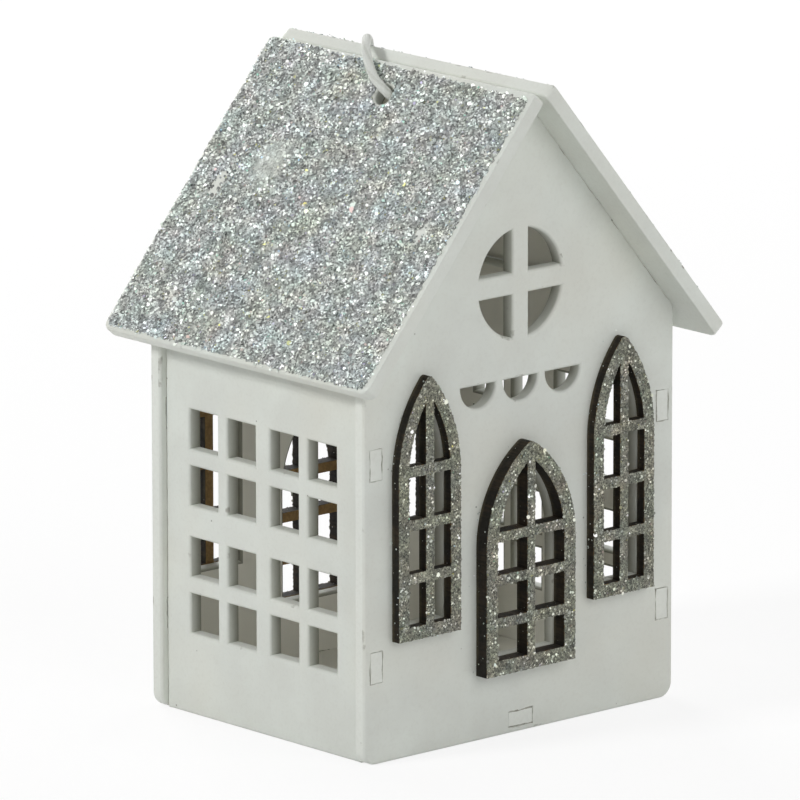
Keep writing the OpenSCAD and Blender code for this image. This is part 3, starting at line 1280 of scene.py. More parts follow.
    def cap(self, border: np.ndarray, edges: np.ndarray, loops: list[np.ndarray]) -> np.ndarray:
        """Fills a board's flat face.

        Args:
            border: The face's border points, of all loops.
            edges: The borders' edges.
            loops: The outline's loops, to count the borders' points by.

        Returns:
            The triangles.
        """
        ends = np.cumsum([len(loop) for loop in loops])[:-1]
        return filled(border, edges.tolist(), np.split(border, ends))[1]

    def mark_corners(self, mesh: bpy.types.Mesh, loops: list[np.ndarray], rows: int) -> None:
        """Keeps the shading apart across the outline's corners.

        Args:
            mesh: The board's mesh.
            loops: The outline's loops.
            rows: The mesh's rows of points.
        """
        turns = []
        for loop in loops:
            way = np.roll(loop, -1, axis=0) - loop
            heading = np.arctan2(way[:, 1], way[:, 0])
            turns.append((heading - np.roll(heading, 1) + math.pi) % (2 * math.pi) - math.pi)
        is_corner = np.tile(np.abs(np.concatenate(turns)) > self.corner, rows)
        width = len(is_corner) // rows
        ends = np.zeros(len(mesh.edges) * 2, int)
        mesh.edges.foreach_get("vertices", ends)
        first, second = ends.reshape(-1, 2).T
        upright = first % width == second % width
        layer = mesh.attributes.new("sharp_edge", "BOOLEAN", "EDGE")
        layer.data.foreach_set("value", upright & is_corner[first])

    def smooth(self, board: bpy.types.Object) -> None:
        """Evens the shading of the flats and the rounded edges.

        Args:
            board: The board's object.
        """
        only(board)
        bpy.ops.object.shade_smooth(keep_sharp_edges=True)
        normals = board.modifiers.new("flat_shading", "WEIGHTED_NORMAL")
        normals.keep_sharp = True
        bpy.ops.object.modifier_apply(modifier=normals.name)


@dataclass
class GlitterCoat:
    """A glued coat of glitter: a faceted bed of grains with loose flakes on it."""

    node: str
    plate: Plate
    tone: GlitterTone
    seed: int
    grain: float
    flakes: int
    ragged: float
    flake_r: float
    bed: float = 0.12 * MM
    relief: float = 0.12 * MM
    flake_t: float = 0.04 * MM
    flake_spread: float = 0.28
    tilt: float = 0.3
    stretch: float = 1.0
    pull: CornerPull = CornerPull()
    thin: tuple[ThinPatch, ...] = ()
    tabs: tuple[DustedTab, ...] = ()
    strays: int = 0
    stray_r: float = 0.13 * MM
    stray_reach: float = 0.35 * MM
    stray_depth: float = 0.0
    on_board: float = 0.7

    # Shares of a grain: room between border points, round the border, and play of a point
    BORDER_GAP = 0.5
    BORDER_ROOM = 0.45
    PLAY = 0.42
    # Shares of the ragged border's depth, of the relief, of the height and of the glue's tone
    RAGGED_SPAN = (-0.6, 1.0)
    THIN_SINK = 0.3
    BORDER_HEIGHT = 0.5
    GLUE_SPAN = (0.35, 1.15)
    # Flakes on tabs and strays: height in flakes, share of the tilt, least reach and lean
    TAB_LIFT = 1.5
    TAB_TILT = 0.5
    STRAY_LEAST = 0.4
    STRAY_LEAN = 0.1
    FLAKE_SIDES = 6
    # The direction that a flake's own axes are measured from
    ASIDE = np.array([0.31, 0.95, 0.05])
    # Corner and size of each area of the map, and shares of a flake's own cell in it
    TOP_MAP = np.array([[0.01, 0.36], [0.98, 0.63]])
    UNDER_MAP = np.array([[0.02, 0.02], [0.42, 0.3]])
    FLAKE_MAP = np.array([[0.5, 0.01], [0.49, 0.33]])
    FLAKE_RINGS = (0.3, 0.45)
    CELL_SHAPE = 1.5
    SKIRT_MAP = 0.006
    NO_POINTS = np.zeros((0, 3))

    def build(self, material: bpy.types.Material) -> None:
        """Builds and dresses the coat.

        Args:
            material: The glitter's material.
        """
        rng = np.random.default_rng(self.seed)
        borders = outline(self.node, self.plate)
        outer = max(range(len(borders)), key=lambda k: np.ptp(borders[k][:, 1]))
        borders[outer] = self.pull.moved(borders[outer])
        loops = [self.roughened(loop, rng) for loop in borders]
        parts = MeshParts()
        top, triangles = self.add_bed(parts, loops, rng)
        batches = [self.loose_flakes(top, triangles, rng)]
        batches += [self.tab_flakes(tab, rng) for tab in self.tabs]
        batches.append(self.stray_flakes(loops[outer], rng))
        self.add_flakes(parts, batches, rng)
        coat = new_object(self.node + "_coat", parts.mesh(self.node, self.plate.matrix()))
        coat.data.materials.append(material)
        hand_over(coat, self.node)

    def roughened(self, loop: np.ndarray, rng: np.random.Generator) -> np.ndarray:
        """A loop with points about a grain apart, moved to and fro across the border.

        Args:
            loop: The true border.
            rng: The coat's random numbers.

        Returns:
            The rough border.
        """
        ends = np.roll(loop, -1, axis=0)
        found = []
        for start, end in zip(loop, ends):
            length = np.linalg.norm(end - start)
            steps = max(1, round(length / self.grain))
            normal = np.array([start[1] - end[1], end[0] - start[0]]) / length
            for step in range(steps):
                place = start + (end - start) * step / steps
                if not found or np.linalg.norm(place - found[-1]) > self.BORDER_GAP * self.grain:
                    found.append(place + normal * self.ragged * rng.uniform(*self.RAGGED_SPAN))
        return np.array(found)

    def add_bed(
        self, parts: MeshParts, loops: list[np.ndarray], rng: np.random.Generator
    ) -> tuple[np.ndarray, np.ndarray]:
        """Adds the closed bed of grains: its upper side, its flat underside and its skirt.

        Args:
            parts: The mesh's parts.
            loops: The rough borders.
            rng: The coat's random numbers.

        Returns:
            The points of its upper side, and its triangles.
        """
        flat, triangles = self.tessellated(loops, rng)
        sides = ([0, 1], [1, 2], [2, 0])
        edges = np.concatenate([triangles[:, side] for side in sides]).tolist()
        known = {tuple(edge) for edge in edges}
        rim = np.array([edge for edge in edges if (edge[1], edge[0]) not in known])
        border = np.unique(rim)
        thin = self.thinned(flat)
        height = self.bed + self.relief * rng.random(len(flat)) * (1 - self.THIN_SINK * thin)
        height[border] *= self.BORDER_HEIGHT
        top = np.c_[flat, height]
        lower = np.c_[flat[border], np.zeros(len(border))]
        unit = (flat - flat.min(0)) / np.ptp(flat, axis=0)
        upper_map = self.TOP_MAP[0] + unit * self.TOP_MAP[1]
        under_map = self.UNDER_MAP[0] + unit * self.UNDER_MAP[1]
        tones = self.bed_tones(flat, triangles, thin, rng)
        parts.add(np.concatenate([top, lower]), triangles, tones, upper_map[triangles])
        rank = np.zeros(len(flat), int)
        rank[border] = np.arange(len(border))
        under = filled(flat[border], rank[rim].tolist(), loops)[1][:, ::-1]
        glue = self.tone.bed.draw(flat[border][under].mean(1), rng)
        parts.add(self.NO_POINTS, under + len(flat), glue, under_map[border][under])
        a, b = rim.T
        outward = np.c_[flat[b, 1] - flat[a, 1], flat[a, 0] - flat[b, 0]]
        outward *= self.SKIRT_MAP / np.maximum(np.linalg.norm(outward, axis=1), MERGE)[:, None]
        start, end = under_map[a], under_map[b]
        skirt_map = np.stack([start + outward, start, end, end + outward], 1)
        skirt = np.c_[a, rank[a] + len(flat), rank[b] + len(flat), b]
        parts.add(self.NO_POINTS, skirt, self.tone.bed.draw(flat[rim].mean(1), rng), skirt_map)
        return top, triangles

    def tessellated(
        self, loops: list[np.ndarray], rng: np.random.Generator
    ) -> tuple[np.ndarray, np.ndarray]:
        """Fills the borders with uneven triangles of about a grain.

        Args:
            loops: The rough borders.
            rng: The coat's random numbers.

        Returns:
            The points and the triangles, counter-clockwise.
        """
        border = np.concatenate(loops)
        low, high = border.min(0), border.max(0)
        steps = self.grain * np.array([1 / self.stretch, self.stretch])
        axes = [np.arange(low[k], high[k], steps[k]) for k in (0, 1)]
        grid = np.stack(np.meshgrid(*axes, indexing="ij"), -1).reshape(-1, 2)
        grid = grid + rng.uniform(-self.PLAY, self.PLAY, grid.shape) * steps
        grid = grid[inside(grid, loops)]
        near = KDTree(len(border))
        for index, place in enumerate(border):
            near.insert((*place, 0), index)
        near.balance()
        clear = [near.find((*place, 0))[2] > self.BORDER_ROOM * self.grain for place in grid]
        return filled(np.concatenate([border, grid[clear]]), loop_edges(loops).tolist(), loops)

    def thinned(self, places: np.ndarray) -> np.ndarray:
        """Share of the glitter that is missing at each place."""
        return np.clip(sum((patch.share(places) for patch in self.thin), np.zeros(len(places))), 0, 1)

    def bed_tones(
        self, flat: np.ndarray, triangles: np.ndarray, thin: np.ndarray, rng: np.random.Generator
    ) -> np.ndarray:
        """Colours of the bed's upper grains, paler where the coat is thin.

        Args:
            flat: The bed's points.
            triangles: Its triangles.
            thin: Share of the glitter that is missing at each point.
            rng: The coat's random numbers.

        Returns:
            A colour for each triangle.
        """
        tones = self.tone.bed.draw(flat[triangles].mean(1), rng)
        share = (thin[triangles].mean(1) * rng.uniform(*self.GLUE_SPAN, len(triangles)))[:, None]
        return tones * (1 - share) + share * to_linear(np.array(self.tone.thin))

    def batch(
        self,
        places: np.ndarray,
        normals: np.ndarray,
        radius: float,
        tone: GrainTone,
        rng: np.random.Generator,
    ) -> Flakes:
        """Gives flakes their sizes and tones.

        Args:
            places: The flakes' middles.
            normals: Directions that they face.
            radius: Their middling radius.
            tone: Their tones.
            rng: The coat's random numbers.

        Returns:
            The flakes.
        """
        radii = radius * rng.lognormal(0, self.flake_spread, len(places))
        return Flakes(places, normals, radii, tone.draw(places, rng))

    def loose_flakes(self, top: np.ndarray, triangles: np.ndarray, rng: np.random.Generator) -> Flakes:
        """Flakes that lie on the bed.

        Args:
            top: The points of the bed's upper side.
            triangles: Its triangles.
            rng: The coat's random numbers.

        Returns:
            The flakes, fewer where the coat is thin.
        """
        chosen = triangles[rng.integers(0, len(triangles), self.flakes)]
        weights = rng.dirichlet((1, 1, 1), self.flakes)
        places = (top[chosen] * weights[:, :, None]).sum(1) + np.array([0, 0, self.flake_t])
        places = places[rng.random(len(places)) > self.thinned(places[:, :2])]
        normals = np.c_[rng.normal(0, self.tilt, (len(places), 2)), np.ones(len(places))]
        return self.batch(places, normals, self.flake_r, self.tone.flakes, rng)

    def tab_flakes(self, tab: DustedTab, rng: np.random.Generator) -> Flakes:
        """Flakes that lie on a tab's end.

        Args:
            tab: The tab.
            rng: The coat's random numbers.

        Returns:
            The flakes.
        """
        spots = tab.scatter(rng)
        places = np.c_[spots, np.full(len(spots), self.TAB_LIFT * self.flake_t)]
        normals = np.c_[rng.normal(0, self.TAB_TILT * self.tilt, (len(spots), 2)), np.ones(len(spots))]
        return self.batch(places, normals, self.flake_r, self.tone.bed, rng)

    def stray_flakes(self, outer: np.ndarray, rng: np.random.Generator) -> Flakes:
        """Flakes on the board beside the coat and on the cut edge under it.

        Args:
            outer: The coat's outer border.
            rng: The coat's random numbers.

        Returns:
            The flakes.
        """
        index = rng.integers(0, len(outer), self.strays)
        start, end = outer[index], np.roll(outer, -1, axis=0)[index]
        outward = np.c_[end[:, 1] - start[:, 1], start[:, 0] - end[:, 0]]
        outward /= np.linalg.norm(outward, axis=1)[:, None]
        flat = rng.random(self.strays) < self.on_board
        away = (rng.exponential(1, self.strays) + self.STRAY_LEAST) * self.stray_reach
        reach = np.where(flat, away, self.ragged)
        below = -rng.random(self.strays) * self.stray_depth
        depth = np.where(flat, self.flake_t - self.stray_depth, below)
        normals = np.where(flat[:, None], (0.0, 0.0, 1.0), np.c_[outward, np.zeros(self.strays)])
        places = np.c_[start + outward * reach[:, None], depth]
        lean = rng.normal(0, self.STRAY_LEAN, normals.shape)
        return self.batch(places, normals + lean, self.stray_r, self.tone.strays, rng)

    def add_flakes(self, parts: MeshParts, batches: list[Flakes], rng: np.random.Generator) -> None:
        """Adds closed flakes: thin discs of a few sides, each with its own place on the map.

        Args:
            parts: The mesh's parts.
            batches: The flakes.
            rng: The coat's random numbers.
        """
        centres, normals, radii, tones = map(np.concatenate, zip(*batches))
        count, sides = len(centres), self.FLAKE_SIDES
        out = normals / np.linalg.norm(normals, axis=1)[:, None]
        across = np.cross(out, self.ASIDE)
        across /= np.linalg.norm(across, axis=1)[:, None]
        along = np.cross(out, across)
        angles = rng.uniform(0, math.pi, count)[:, None] + np.arange(sides) * 2 * math.pi / sides
        draw = math.sqrt(self.stretch)
        ring = (
            np.cos(angles)[:, :, None] * across[:, None] / draw
            + np.sin(angles)[:, :, None] * along[:, None] * draw
        ) * radii[:, None, None]
        lift = (out * self.flake_t / 2)[:, None]
        points = np.concatenate([centres[:, None] + ring - lift, centres[:, None] + ring + lift], 1)
        inner, outer = self.flake_map(count, np.c_[np.cos(angles[0]), np.sin(angles[0])])
        first = (np.arange(count) * 2 * sides)[:, None]
        around = np.arange(sides)
        start = parts.count
        parts.add(points.reshape(-1, 3), first + around[::-1], tones, inner[:, ::-1])
        parts.add(self.NO_POINTS, start + first + sides + around, tones, inner)
        for k in range(sides):
            after = (k + 1) % sides
            quad = start + first + np.array([k, after, sides + after, sides + k])
            corners = np.stack([outer[:, k], outer[:, after], inner[:, after], inner[:, k]], 1)
            parts.add(self.NO_POINTS, quad, tones, corners)

    def flake_map(self, count: int, wheel: np.ndarray) -> tuple[np.ndarray, np.ndarray]:
        """Gives each flake a cell of the map.

        Args:
            count: The number of flakes.
            wheel: A flake's corners on a circle of 1.

        Returns:
            Places of the flakes' corners, and places further out for their rims.
        """
        columns = math.ceil(math.sqrt(count * self.CELL_SHAPE))
        cell = self.FLAKE_MAP[1] / np.array([columns, math.ceil(count / columns)])
        number = np.arange(count)
        middle = self.FLAKE_MAP[0] + (np.c_[number % columns, number // columns] + 0.5) * cell
        inner, outer = (middle[:, None] + wheel * cell * share for share in self.FLAKE_RINGS)
        return inner, outer


def curve_through(route: np.ndarray, steps: int) -> np.ndarray:
    """A smooth curve through a route's points.

    Args:
        route: The points.
        steps: Points of the curve for each of the route's.

    Returns:
        The curve's points.
    """
    padded = np.concatenate([route[:1], route, route[-1:]])
    share = np.arange(steps)[:, None] / steps
    found = []
    for a, b, c, d in zip(padded, padded[1:], padded[2:], padded[3:]):
        cubic = 2 * a - 5 * b + 4 * c - d + share * (3 * (b - c) + d - a)
        found.append(b + share / 2 * (c - a + share * cubic))
    return np.concatenate([*found, route[-1:]])


@dataclass
class CordTube:
    """A cord laid along a path: strands twisted round each other, with closed ends."""

    name: str
    path: np.ndarray
    diameter: float
    sides: int = 24
    strands: int = 3
    lobe: float = 0.035
    turn_length: float = 5.2 * MM
    crease: float = math.radians(50)

    def build(self, material: bpy.types.Material) -> bpy.types.Object:
        """Builds and dresses the cord.

        Args:
            material: The cord's material.

        Returns:
            The cord's object.
        """
        steps = np.diff(self.path, axis=0)
        run = np.concatenate([[0.0], np.cumsum(np.linalg.norm(steps, axis=1))])
        heading = np.gradient(self.path, axis=0)
        heading /= np.linalg.norm(heading, axis=1)[:, None]
        across = self.carried(heading)
        along = np.cross(heading, across)
        angles = np.arange(self.sides) * 2 * math.pi / self.sides
        lay = self.strands * (angles[None] - 2 * math.pi * run[:, None] / self.turn_length)
        radii = self.diameter / 2 * (1 + self.lobe * np.cos(lay))
        cosines, sines = (wave(angles)[None, :, None] for wave in (np.cos, np.sin))
        ring = cosines * across[:, None] + sines * along[:, None]
        points = self.path[:, None] + ring * radii[:, :, None]
        cord = new_object(self.name, self.mesh(points, run))
        cord.data.materials.append(material)
        only(cord)
        bpy.ops.object.shade_smooth_by_angle(angle=self.crease)
        return cord

    def carried(self, heading: np.ndarray) -> np.ndarray:
        """Sideways directions that follow the path without turning about it.

        Args:
            heading: The path's directions.

        Returns:
            A unit vector for each.
        """
        side = np.array([1.0, 0.0, 0.0])
        found = []
        for way in heading:
            side = side - (side @ way) * way
            side = side / np.linalg.norm(side)
            found.append(side)
        return np.array(found)

    def mesh(self, points: np.ndarray, run: np.ndarray) -> bpy.types.Mesh:
        """Joins the rings into a closed tube with a map along its lay.

        Args:
            points: The rings' points.
            run: Length along the path at each ring.

        Returns:
            The mesh.
        """
        rings, sides = points.shape[:2]
        ring, side = np.meshgrid(np.arange(rings - 1), np.arange(sides), indexing="ij")
        a = (ring * sides + side).ravel()
        b = (ring * sides + (side + 1) % sides).ravel()
        faces = np.c_[a, b, b + sides, a + sides].tolist()
        faces += [list(range(sides))[::-1], list(range((rings - 1) * sides, rings * sides))]
        made = bpy.data.meshes.new(self.name)
        made.from_pydata(points.reshape(-1, 3).tolist(), [], faces)
        girth = math.pi * self.diameter
        low, high = run[ring.ravel()] / girth, run[ring.ravel() + 1] / girth
        left, right = side.ravel() / sides, (side.ravel() + 1) / sides
        walls = np.stack([np.c_[left, low], np.c_[right, low], np.c_[right, high], np.c_[left, high]], 1)
        ends = np.zeros((2 * sides, 2))
        layer = made.uv_layers.new(name="strand")
        places = np.concatenate([walls.reshape(-1, 2), ends])
        layer.uv.foreach_set("vector", places.astype(np.float32).ravel())
        return made


@dataclass
class HangingLoop:
    """The loop of cord through the roof, knotted under the ridge."""

    material: bpy.types.Material
    diameter: float = 1.8 * MM
    pair_x: float = 1.0 * MM
    knot_drop: float = 15.0 * MM
    lead: float = 2.0 * MM
    tail: float = 4.0 * MM
    turns: int = 2
    steps: int = 8
    knot_sides: int = 16

    # The knot's turns: radius, thickness and rise in cord diameters, and how round they are
    turn_steps: int = 40
    turn_r: float = 0.98
    turn_d: float = 0.94
    turn_rise: float = 0.46
    turn_shape: tuple[float, float] = (1.04, 0.9)

    # How the turns' own ends are tucked in: angle, share of the run and share of the radius
    tuck_angle: float = 0.35
    tuck_run: float = 0.1
    tuck_depth: float = 0.3

    # The tails' lean away from each other, and where and how gently it starts
    tail_steps: int = 24
    tail_lean: float = 0.55 * MM
    tail_start: float = 0.45
    tail_ease: float = 0.3
    tail_skew: float = 0.5

    # Down the slope, back along the ridge and above the panel's face, in millimetres
    LEFT_RUN = (
        (9.2, -0.4, -8.8),
        (8.1, -0.9, -6.2),
        (7.6, -1.1, -3.8),
        (7.5, -1.0, -2.2),
        (7.2, -0.4, -0.4),
        (6.6, 0.8, 0.9),
        (5.7, 2.6, 1.6),
        (3.9, 5.2, 1.5),
        (2.0, 7.5, 1.4),
        (0.0, 9.5, 1.4),
    )
    RIGHT_RUN = (
        (-3.1, 12.4, -1.2),
        (-1.6, 14.8, 0.5),
        (0.2, 16.4, 1.3),
        (3.0, 18.0, 1.4),
        (8.0, 19.4, 1.3),
        (16.0, 19.6, 1.25),
        (25.0, 19.0, 1.25),
        (34.0, 18.0, 1.25),
        (43.0, 16.8, 1.25),
        (49.5, 14.0, 1.25),
        (52.5, 8.5, 1.25),
        (49.5, 3.0, 1.25),
        (43.0, 0.4, 1.25),
        (34.0, 0.0, 1.25),
        (25.0, 0.0, 1.25),
        (17.0, 0.0, 1.25),
        (12.8, 0.0, 1.5),
        (10.2, 0.0, 1.3),
        (8.4, 0.0, 0.1),
        (7.4, 0.0, -1.9),
        (7.4, 0.0, -4.2),
        (8.6, 0.0, -7.8),
    )

    def build(self) -> None:
        path = curve_through(np.array(self.route()), self.steps)
        cord = CordTube("hanging_cord_loop", path, self.diameter).build(self.material)
        hand_over(cord, "hanging_cord")
        knot = [self.knot_turns(), self.knot_tail(Side.LEFT), self.knot_tail(Side.RIGHT)]

    def knot_end(self, side: Side) -> Vector:
        """Where the cord meets the knot on one side."""
        return PEAK + Vector((side.value * self.pair_x, 0, -self.knot_drop))

    def route(self) -> list[Vector]:
        """The cord's points from the knot, over the ridge, and back to the knot.

        Returns:
            The points.
        """
        lead = Vector((0, 0, self.lead))
        runs = ((Side.LEFT, self.LEFT_RUN), (Side.RIGHT, self.RIGHT_RUN))
        middle = [roof_point(side, place) for side, run in runs for place in run]
        left, right = self.knot_end(Side.LEFT), self.knot_end(Side.RIGHT)
        return [left, left + lead, *middle, right + lead, right]

    def knot_turns(self) -> bpy.types.Object:
        """Builds the turns that hold the two ends, tucked in at both of their own ends.

        Returns:
            The turns' object.
        """
        height = self.turns * self.diameter
        last = 2 * math.pi * self.turns + self.tuck_angle
        angles = np.linspace(-self.tuck_angle, last, self.turn_steps * self.turns)
        share = (angles - angles[0]) / np.ptp(angles)
        tuck = np.clip(np.minimum(share, 1 - share) / self.tuck_run, self.tuck_depth, 1)
        radius = self.diameter * self.turn_r * tuck
        rise = self.diameter * self.turn_rise
        path = np.c_[
            self.turn_shape[0] * radius * np.cos(angles),
            self.turn_shape[1] * radius * np.sin(angles),
            PEAK.z - self.knot_drop - rise - share * (height - 2 * rise),
        ]
        return self.knot_piece("cord_knot_turns", path, self.diameter * self.turn_d)

    def knot_tail(self, side: Side) -> bpy.types.Object:
        """Builds one cut end of the cord, through the knot and out below it.

        Args:
            side: The end's side.

        Returns:
            The tail's object.
        """
        start = self.knot_end(side)
        length = self.turns * self.diameter + self.tail
        share = np.linspace(0, 1, self.tail_steps)
        lean = self.tail_lean * np.clip(share - self.tail_start, 0, 1) ** 2 / self.tail_ease
        path = np.c_[
            start.x + side.value * lean,
            start.y + side.value * self.tail_skew * lean,
            start.z - share * length,
        ]
        return self.knot_piece(f"cord_tail_{side.word}", path, self.diameter)

    def knot_piece(self, name: str, path: np.ndarray, diameter: float) -> bpy.types.Object:
        """Lays a piece of the knot along its path.

        Args:
            name: The piece's name.
            path: The path's points.
            diameter: The piece's thickness.

        Returns:
            The piece's object.
        """
        piece = CordTube(name, path, diameter, self.knot_sides).build(self.material)
        hand_over(piece, "cord_knot")
        return piece


def roof_point(side: Side, place: tuple[float, float, float]) -> Vector:
    """A point by a roof panel, in the house.

    Args:
        side: The side of the roof.
        place: Millimetres down the slope, back along the ridge and above the panel's face.

    Returns:
        The point.
    """
    plate = roof_plate(side)
    down, back, above = (value * MM for value in place)
    return plate.origin + down * plate.across + Vector((0, back, 0)) + above * plate.out


@dataclass
class Roof:
    """The glitter coats of the two roof panels."""

    material: bpy.types.Material
    grain: float = 0.46 * MM
    flakes: int = 3600
    flake_r: float = 0.275 * MM
    ragged: float = 0.42 * MM
    tilt: float = 0.36
    stretch: float = 1.3
    strays: int = 170
    stray_r: float = 0.75
    stray_reach: float = 0.12 * MM
    tab_down: float = 33.7 * MM
    tab_half: tuple[float, float] = (3.3 * MM, 1.9 * MM)
    tab_y: float = 29.5 * MM

    SEED = 10
    SMEAR = ThinPatch(27.2 * MM, -19.2 * MM, half_across=6.6 * MM, half_along=5.4 * MM, strength=0.6)
    LEFT_PULL = CornerPull(((-0.3 * MM, 0.0), (0.9 * MM, -0.4 * MM), (-0.4 * MM, 0.0), (0.0, -0.6 * MM)))
    RIGHT_PULL = CornerPull(((0.3 * MM, 0.2 * MM), (0.0, 0.0), (0.0, 0.3 * MM), (-0.5 * MM, -0.3 * MM)))

    def build(self) -> None:
        """Builds the coat of each side."""
        tabs = (
            DustedTab(self.tab_down, -self.tab_y, *self.tab_half, flakes=70, gather_along=0.4),
            DustedTab(self.tab_down, self.tab_y, *self.tab_half, flakes=120, gather_along=0.55),
        )
        for side in Side:
            coat = GlitterCoat(
                node=f"{side.word}_roof_glitter",
                plate=roof_plate(side),
                tone=ROOF_TONE,
                seed=self.SEED + side.value,
                grain=self.grain,
                flakes=self.flakes,
                flake_r=self.flake_r,
                ragged=self.ragged,
                pull=self.LEFT_PULL if side is Side.LEFT else self.RIGHT_PULL,
                thin=(self.SMEAR,) if side is Side.LEFT else (),
                tabs=tabs,
                strays=self.strays,
                stray_r=self.stray_r * self.flake_r,
                stray_reach=self.stray_reach,
                on_board=1.0,
                tilt=self.tilt,
                stretch=self.stretch,
            )
            coat.build(self.material)


def arches() -> list[tuple[Face, str]]:
    """The faces of the gables with the words that the nodes of their openings start with."""
    return [(face, f"{face.word}_{opening}") for face in Face for opening in OPENINGS]


@dataclass
class ArchedFrames:
    """The glitter coats of the glued door and window frames on both gables."""

    material: bpy.types.Material
    grain: float = 0.345 * MM
    ragged: float = 0.12 * MM
    flakes_per_mm2: float = 0.5
    flake_r: float = 0.2 * MM
    strays: int = 70

    SEED = 40

    def build(self) -> None:
        """Builds the coat of each frame."""
        for number, (face, opening) in enumerate(arches()):
            board = opening + "_frame"
            low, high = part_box(board)
            area = (high.x - low.x) * (high.z - low.z) / MM**2
            coat = GlitterCoat(
                node=opening + "_glitter",
                plate=frame_plate(face, board),
                tone=FRAME_TONE,
                seed=self.SEED + number,
                grain=self.grain,
                flakes=round(area * self.flakes_per_mm2),
                ragged=self.ragged,
                flake_r=self.flake_r,
                strays=self.strays,
                stray_depth=high.y - low.y,
            )
            coat.build(self.material)


def painted_boards(material: bpy.types.Material) -> BoardSet:
    """The seven painted boards of the house.

    Args:
        material: The paint.

    Returns:
        The set, to be built.
    """
    ways = {
        "front_gable": Vector((0, -1, 0)),
        "back_gable": Vector((0, 1, 0)),
        "left_wall": Vector((-1, 0, 0)),
        "right_wall": Vector((1, 0, 0)),
        "floor_panel": Vector((0, 0, 1)),
    }
    roof = {f"{side.word}_roof_panel": roof_plate(side) for side in Side}
    plates = {node: flat_plate(node, way) for node, way in ways.items()} | roof
    thickness = dict.fromkeys(plates, BOARD_T)
    return BoardSet(material, Slot.PAINT, plates, thickness, edge_r=0.6 * MM, dull=tuple(roof))


def charred_frames(material: bpy.types.Material) -> BoardSet:
    """The six bare boards of the door and window frames.

    Args:
        material: The charred board.

    Returns:
        The set, to be built.
    """
    plates, thickness = {}, {}
    for face, opening in arches():
        node = opening + "_frame"
        low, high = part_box(node)
        plates[node] = flat_plate(node, Vector((0, face.value, 0)))
        thickness[node] = high.y - low.y
    return BoardSet(material, Slot.CHAR, plates, thickness, edge_r=0.1 * MM)


@dataclass(frozen=True)
class PhotoView:
    """The photograph's camera: a long lens from the front left, a little above."""

    azimuth: float = math.radians(41.766)
    elevation: float = math.radians(13.234)
    roll: float = math.radians(-0.087)
    distance: float = 2.0798
    target: Vector = Vector((-4.1 * MM, -1.0 * MM, 60.76 * MM))
    lens: float = 485.9

    def build(self) -> None:
        """Makes the camera and sets it as the scene's."""
        level, rise = math.cos(self.elevation), math.sin(self.elevation)
        sine, cosine = math.sin(self.azimuth), math.cos(self.azimuth)
        back = Vector((-sine * level, -cosine * level, rise))
        right = Vector((cosine, -sine, 0))
        axes = Matrix((right, back.cross(right), back)).transposed() @ Matrix.Rotation(self.roll, 3, "Z")
        data = bpy.data.cameras.new("photo_camera")
        data.lens = self.lens
        camera = new_object("photo_camera", data)
        camera.matrix_world = Matrix.Translation(self.target + self.distance * back) @ axes.to_4x4()
        bpy.context.scene.camera = camera


@dataclass(frozen=True)
class SoftLamp:
    """A square studio lamp that looks at the house."""

    name: str
    towards: Vector
    distance: float
    size: float
    watts: float

    AIM = Vector((0, 0, 62 * MM))

    def build(self) -> None:
        """Makes the lamp."""
        data = bpy.data.lights.new(self.name, "AREA")
        data.size = self.size
        data.energy = self.watts
        lamp = new_object(self.name, data)
        lamp.location = self.AIM + self.distance * self.towards.normalized()
        lamp.rotation_euler = self.towards.to_track_quat("Z", "Y").to_euler()


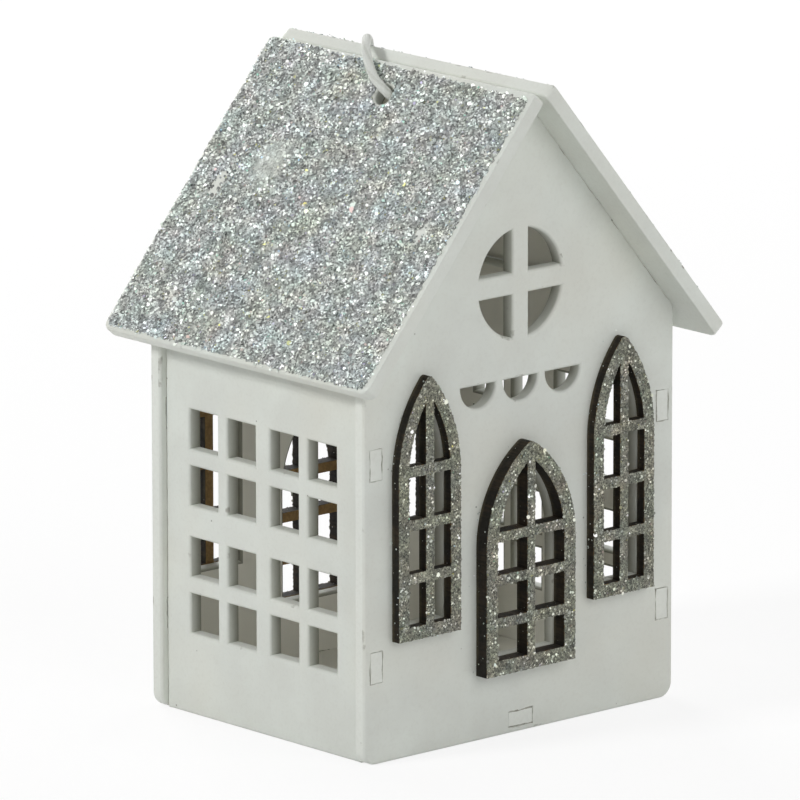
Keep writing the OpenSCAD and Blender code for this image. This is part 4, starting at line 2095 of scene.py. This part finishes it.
@dataclass(frozen=True)
class Studio:
    """A pale floor, soft lamps and a white surround."""

    floor_size: float = 8.0
    sky: float = 0.2
    floor_light: float = 0.8
    floor_shade: float = 0.22
    floor_matte: float = 0.82
    lamps: tuple[SoftLamp, ...] = (
        SoftLamp("key_lamp", Vector((-0.84, 0.2, 0.52)), 1.3, 0.28, 7.1),
        SoftLamp("front_lamp", Vector((0.08, -0.9, 0.42)), 1.6, 1.6, 10.4),
        SoftLamp("right_lamp", Vector((0.95, 0.1, 0.4)), 1.6, 0.9, 6.5),
        SoftLamp("top_lamp", Vector((0.0, 0.01, 1.0)), 1.6, 0.9, 1.8),
        SoftLamp("back_lamp", Vector((0.25, 0.9, 0.28)), 1.6, 0.9, 13.4),
    )

    def build(self) -> None:
        """Makes the floor, the lamps and the world."""
        bpy.context.scene.view_settings.view_transform = "Standard"
        self.floor()
        self.world()
        for lamp in self.lamps:
            lamp.build()

    def floor(self) -> None:
        """Makes the floor: white to the eye, with the house's soft shadow on it."""
        bpy.ops.object.select_all(action="DESELECT")
        bpy.ops.mesh.primitive_plane_add(size=self.floor_size)
        plane = bpy.context.object
        plane.name = "studio_floor"
        shader = Shader("studio_floor")
        shader.nodes.remove(shader.surface)
        matte = shader.add("BsdfDiffuse", {"Color": grey(self.floor_matte)})
        shade = shader.add("BsdfDiffuse", {"Color": grey(self.floor_shade)})
        glow = shader.add("Emission", {"Strength": self.floor_light})
        white = shader.add("AddShader", {0: shade.outputs[0], 1: glow.outputs[0]})
        floor = shader.add("MixShader", {0: shader.seen(), 1: matte.outputs[0], 2: white.outputs[0]})
        shader.put(shader.nodes["Material Output"].inputs["Surface"], floor.outputs[0])
        plane.data.materials.append(shader.material)

    def world(self) -> None:
        """Makes the surround: soft light on the house, and white to the eye."""
        world = bpy.data.worlds.new("studio_world")
        world.use_nodes = True
        tree = NodeTree(world.node_tree)
        sky = tree.nodes["Background"].inputs
        tree.put(sky["Color"], grey(1.0))
        tree.put(sky["Strength"], tree.span(tree.seen(), 0, 1, self.sky, 1))
        bpy.context.scene.world = world


def main() -> None:
    """Builds the studio and every piece of the ornament, in order."""
    logging.basicConfig(level=logging.INFO, format="%(name)s: %(message)s")
    PhotoView().build()
    Studio().build()
    HangingLoop(CottonCord().material()).build()
    painted_boards(WhitePaint().material()).build()
    charred_frames(CharredBoard().material()).build()
    glitter = SilverGlitter().material()
    Roof(glitter).build()
    ArchedFrames(glitter).build()


if __name__ == "__main__":
    main()
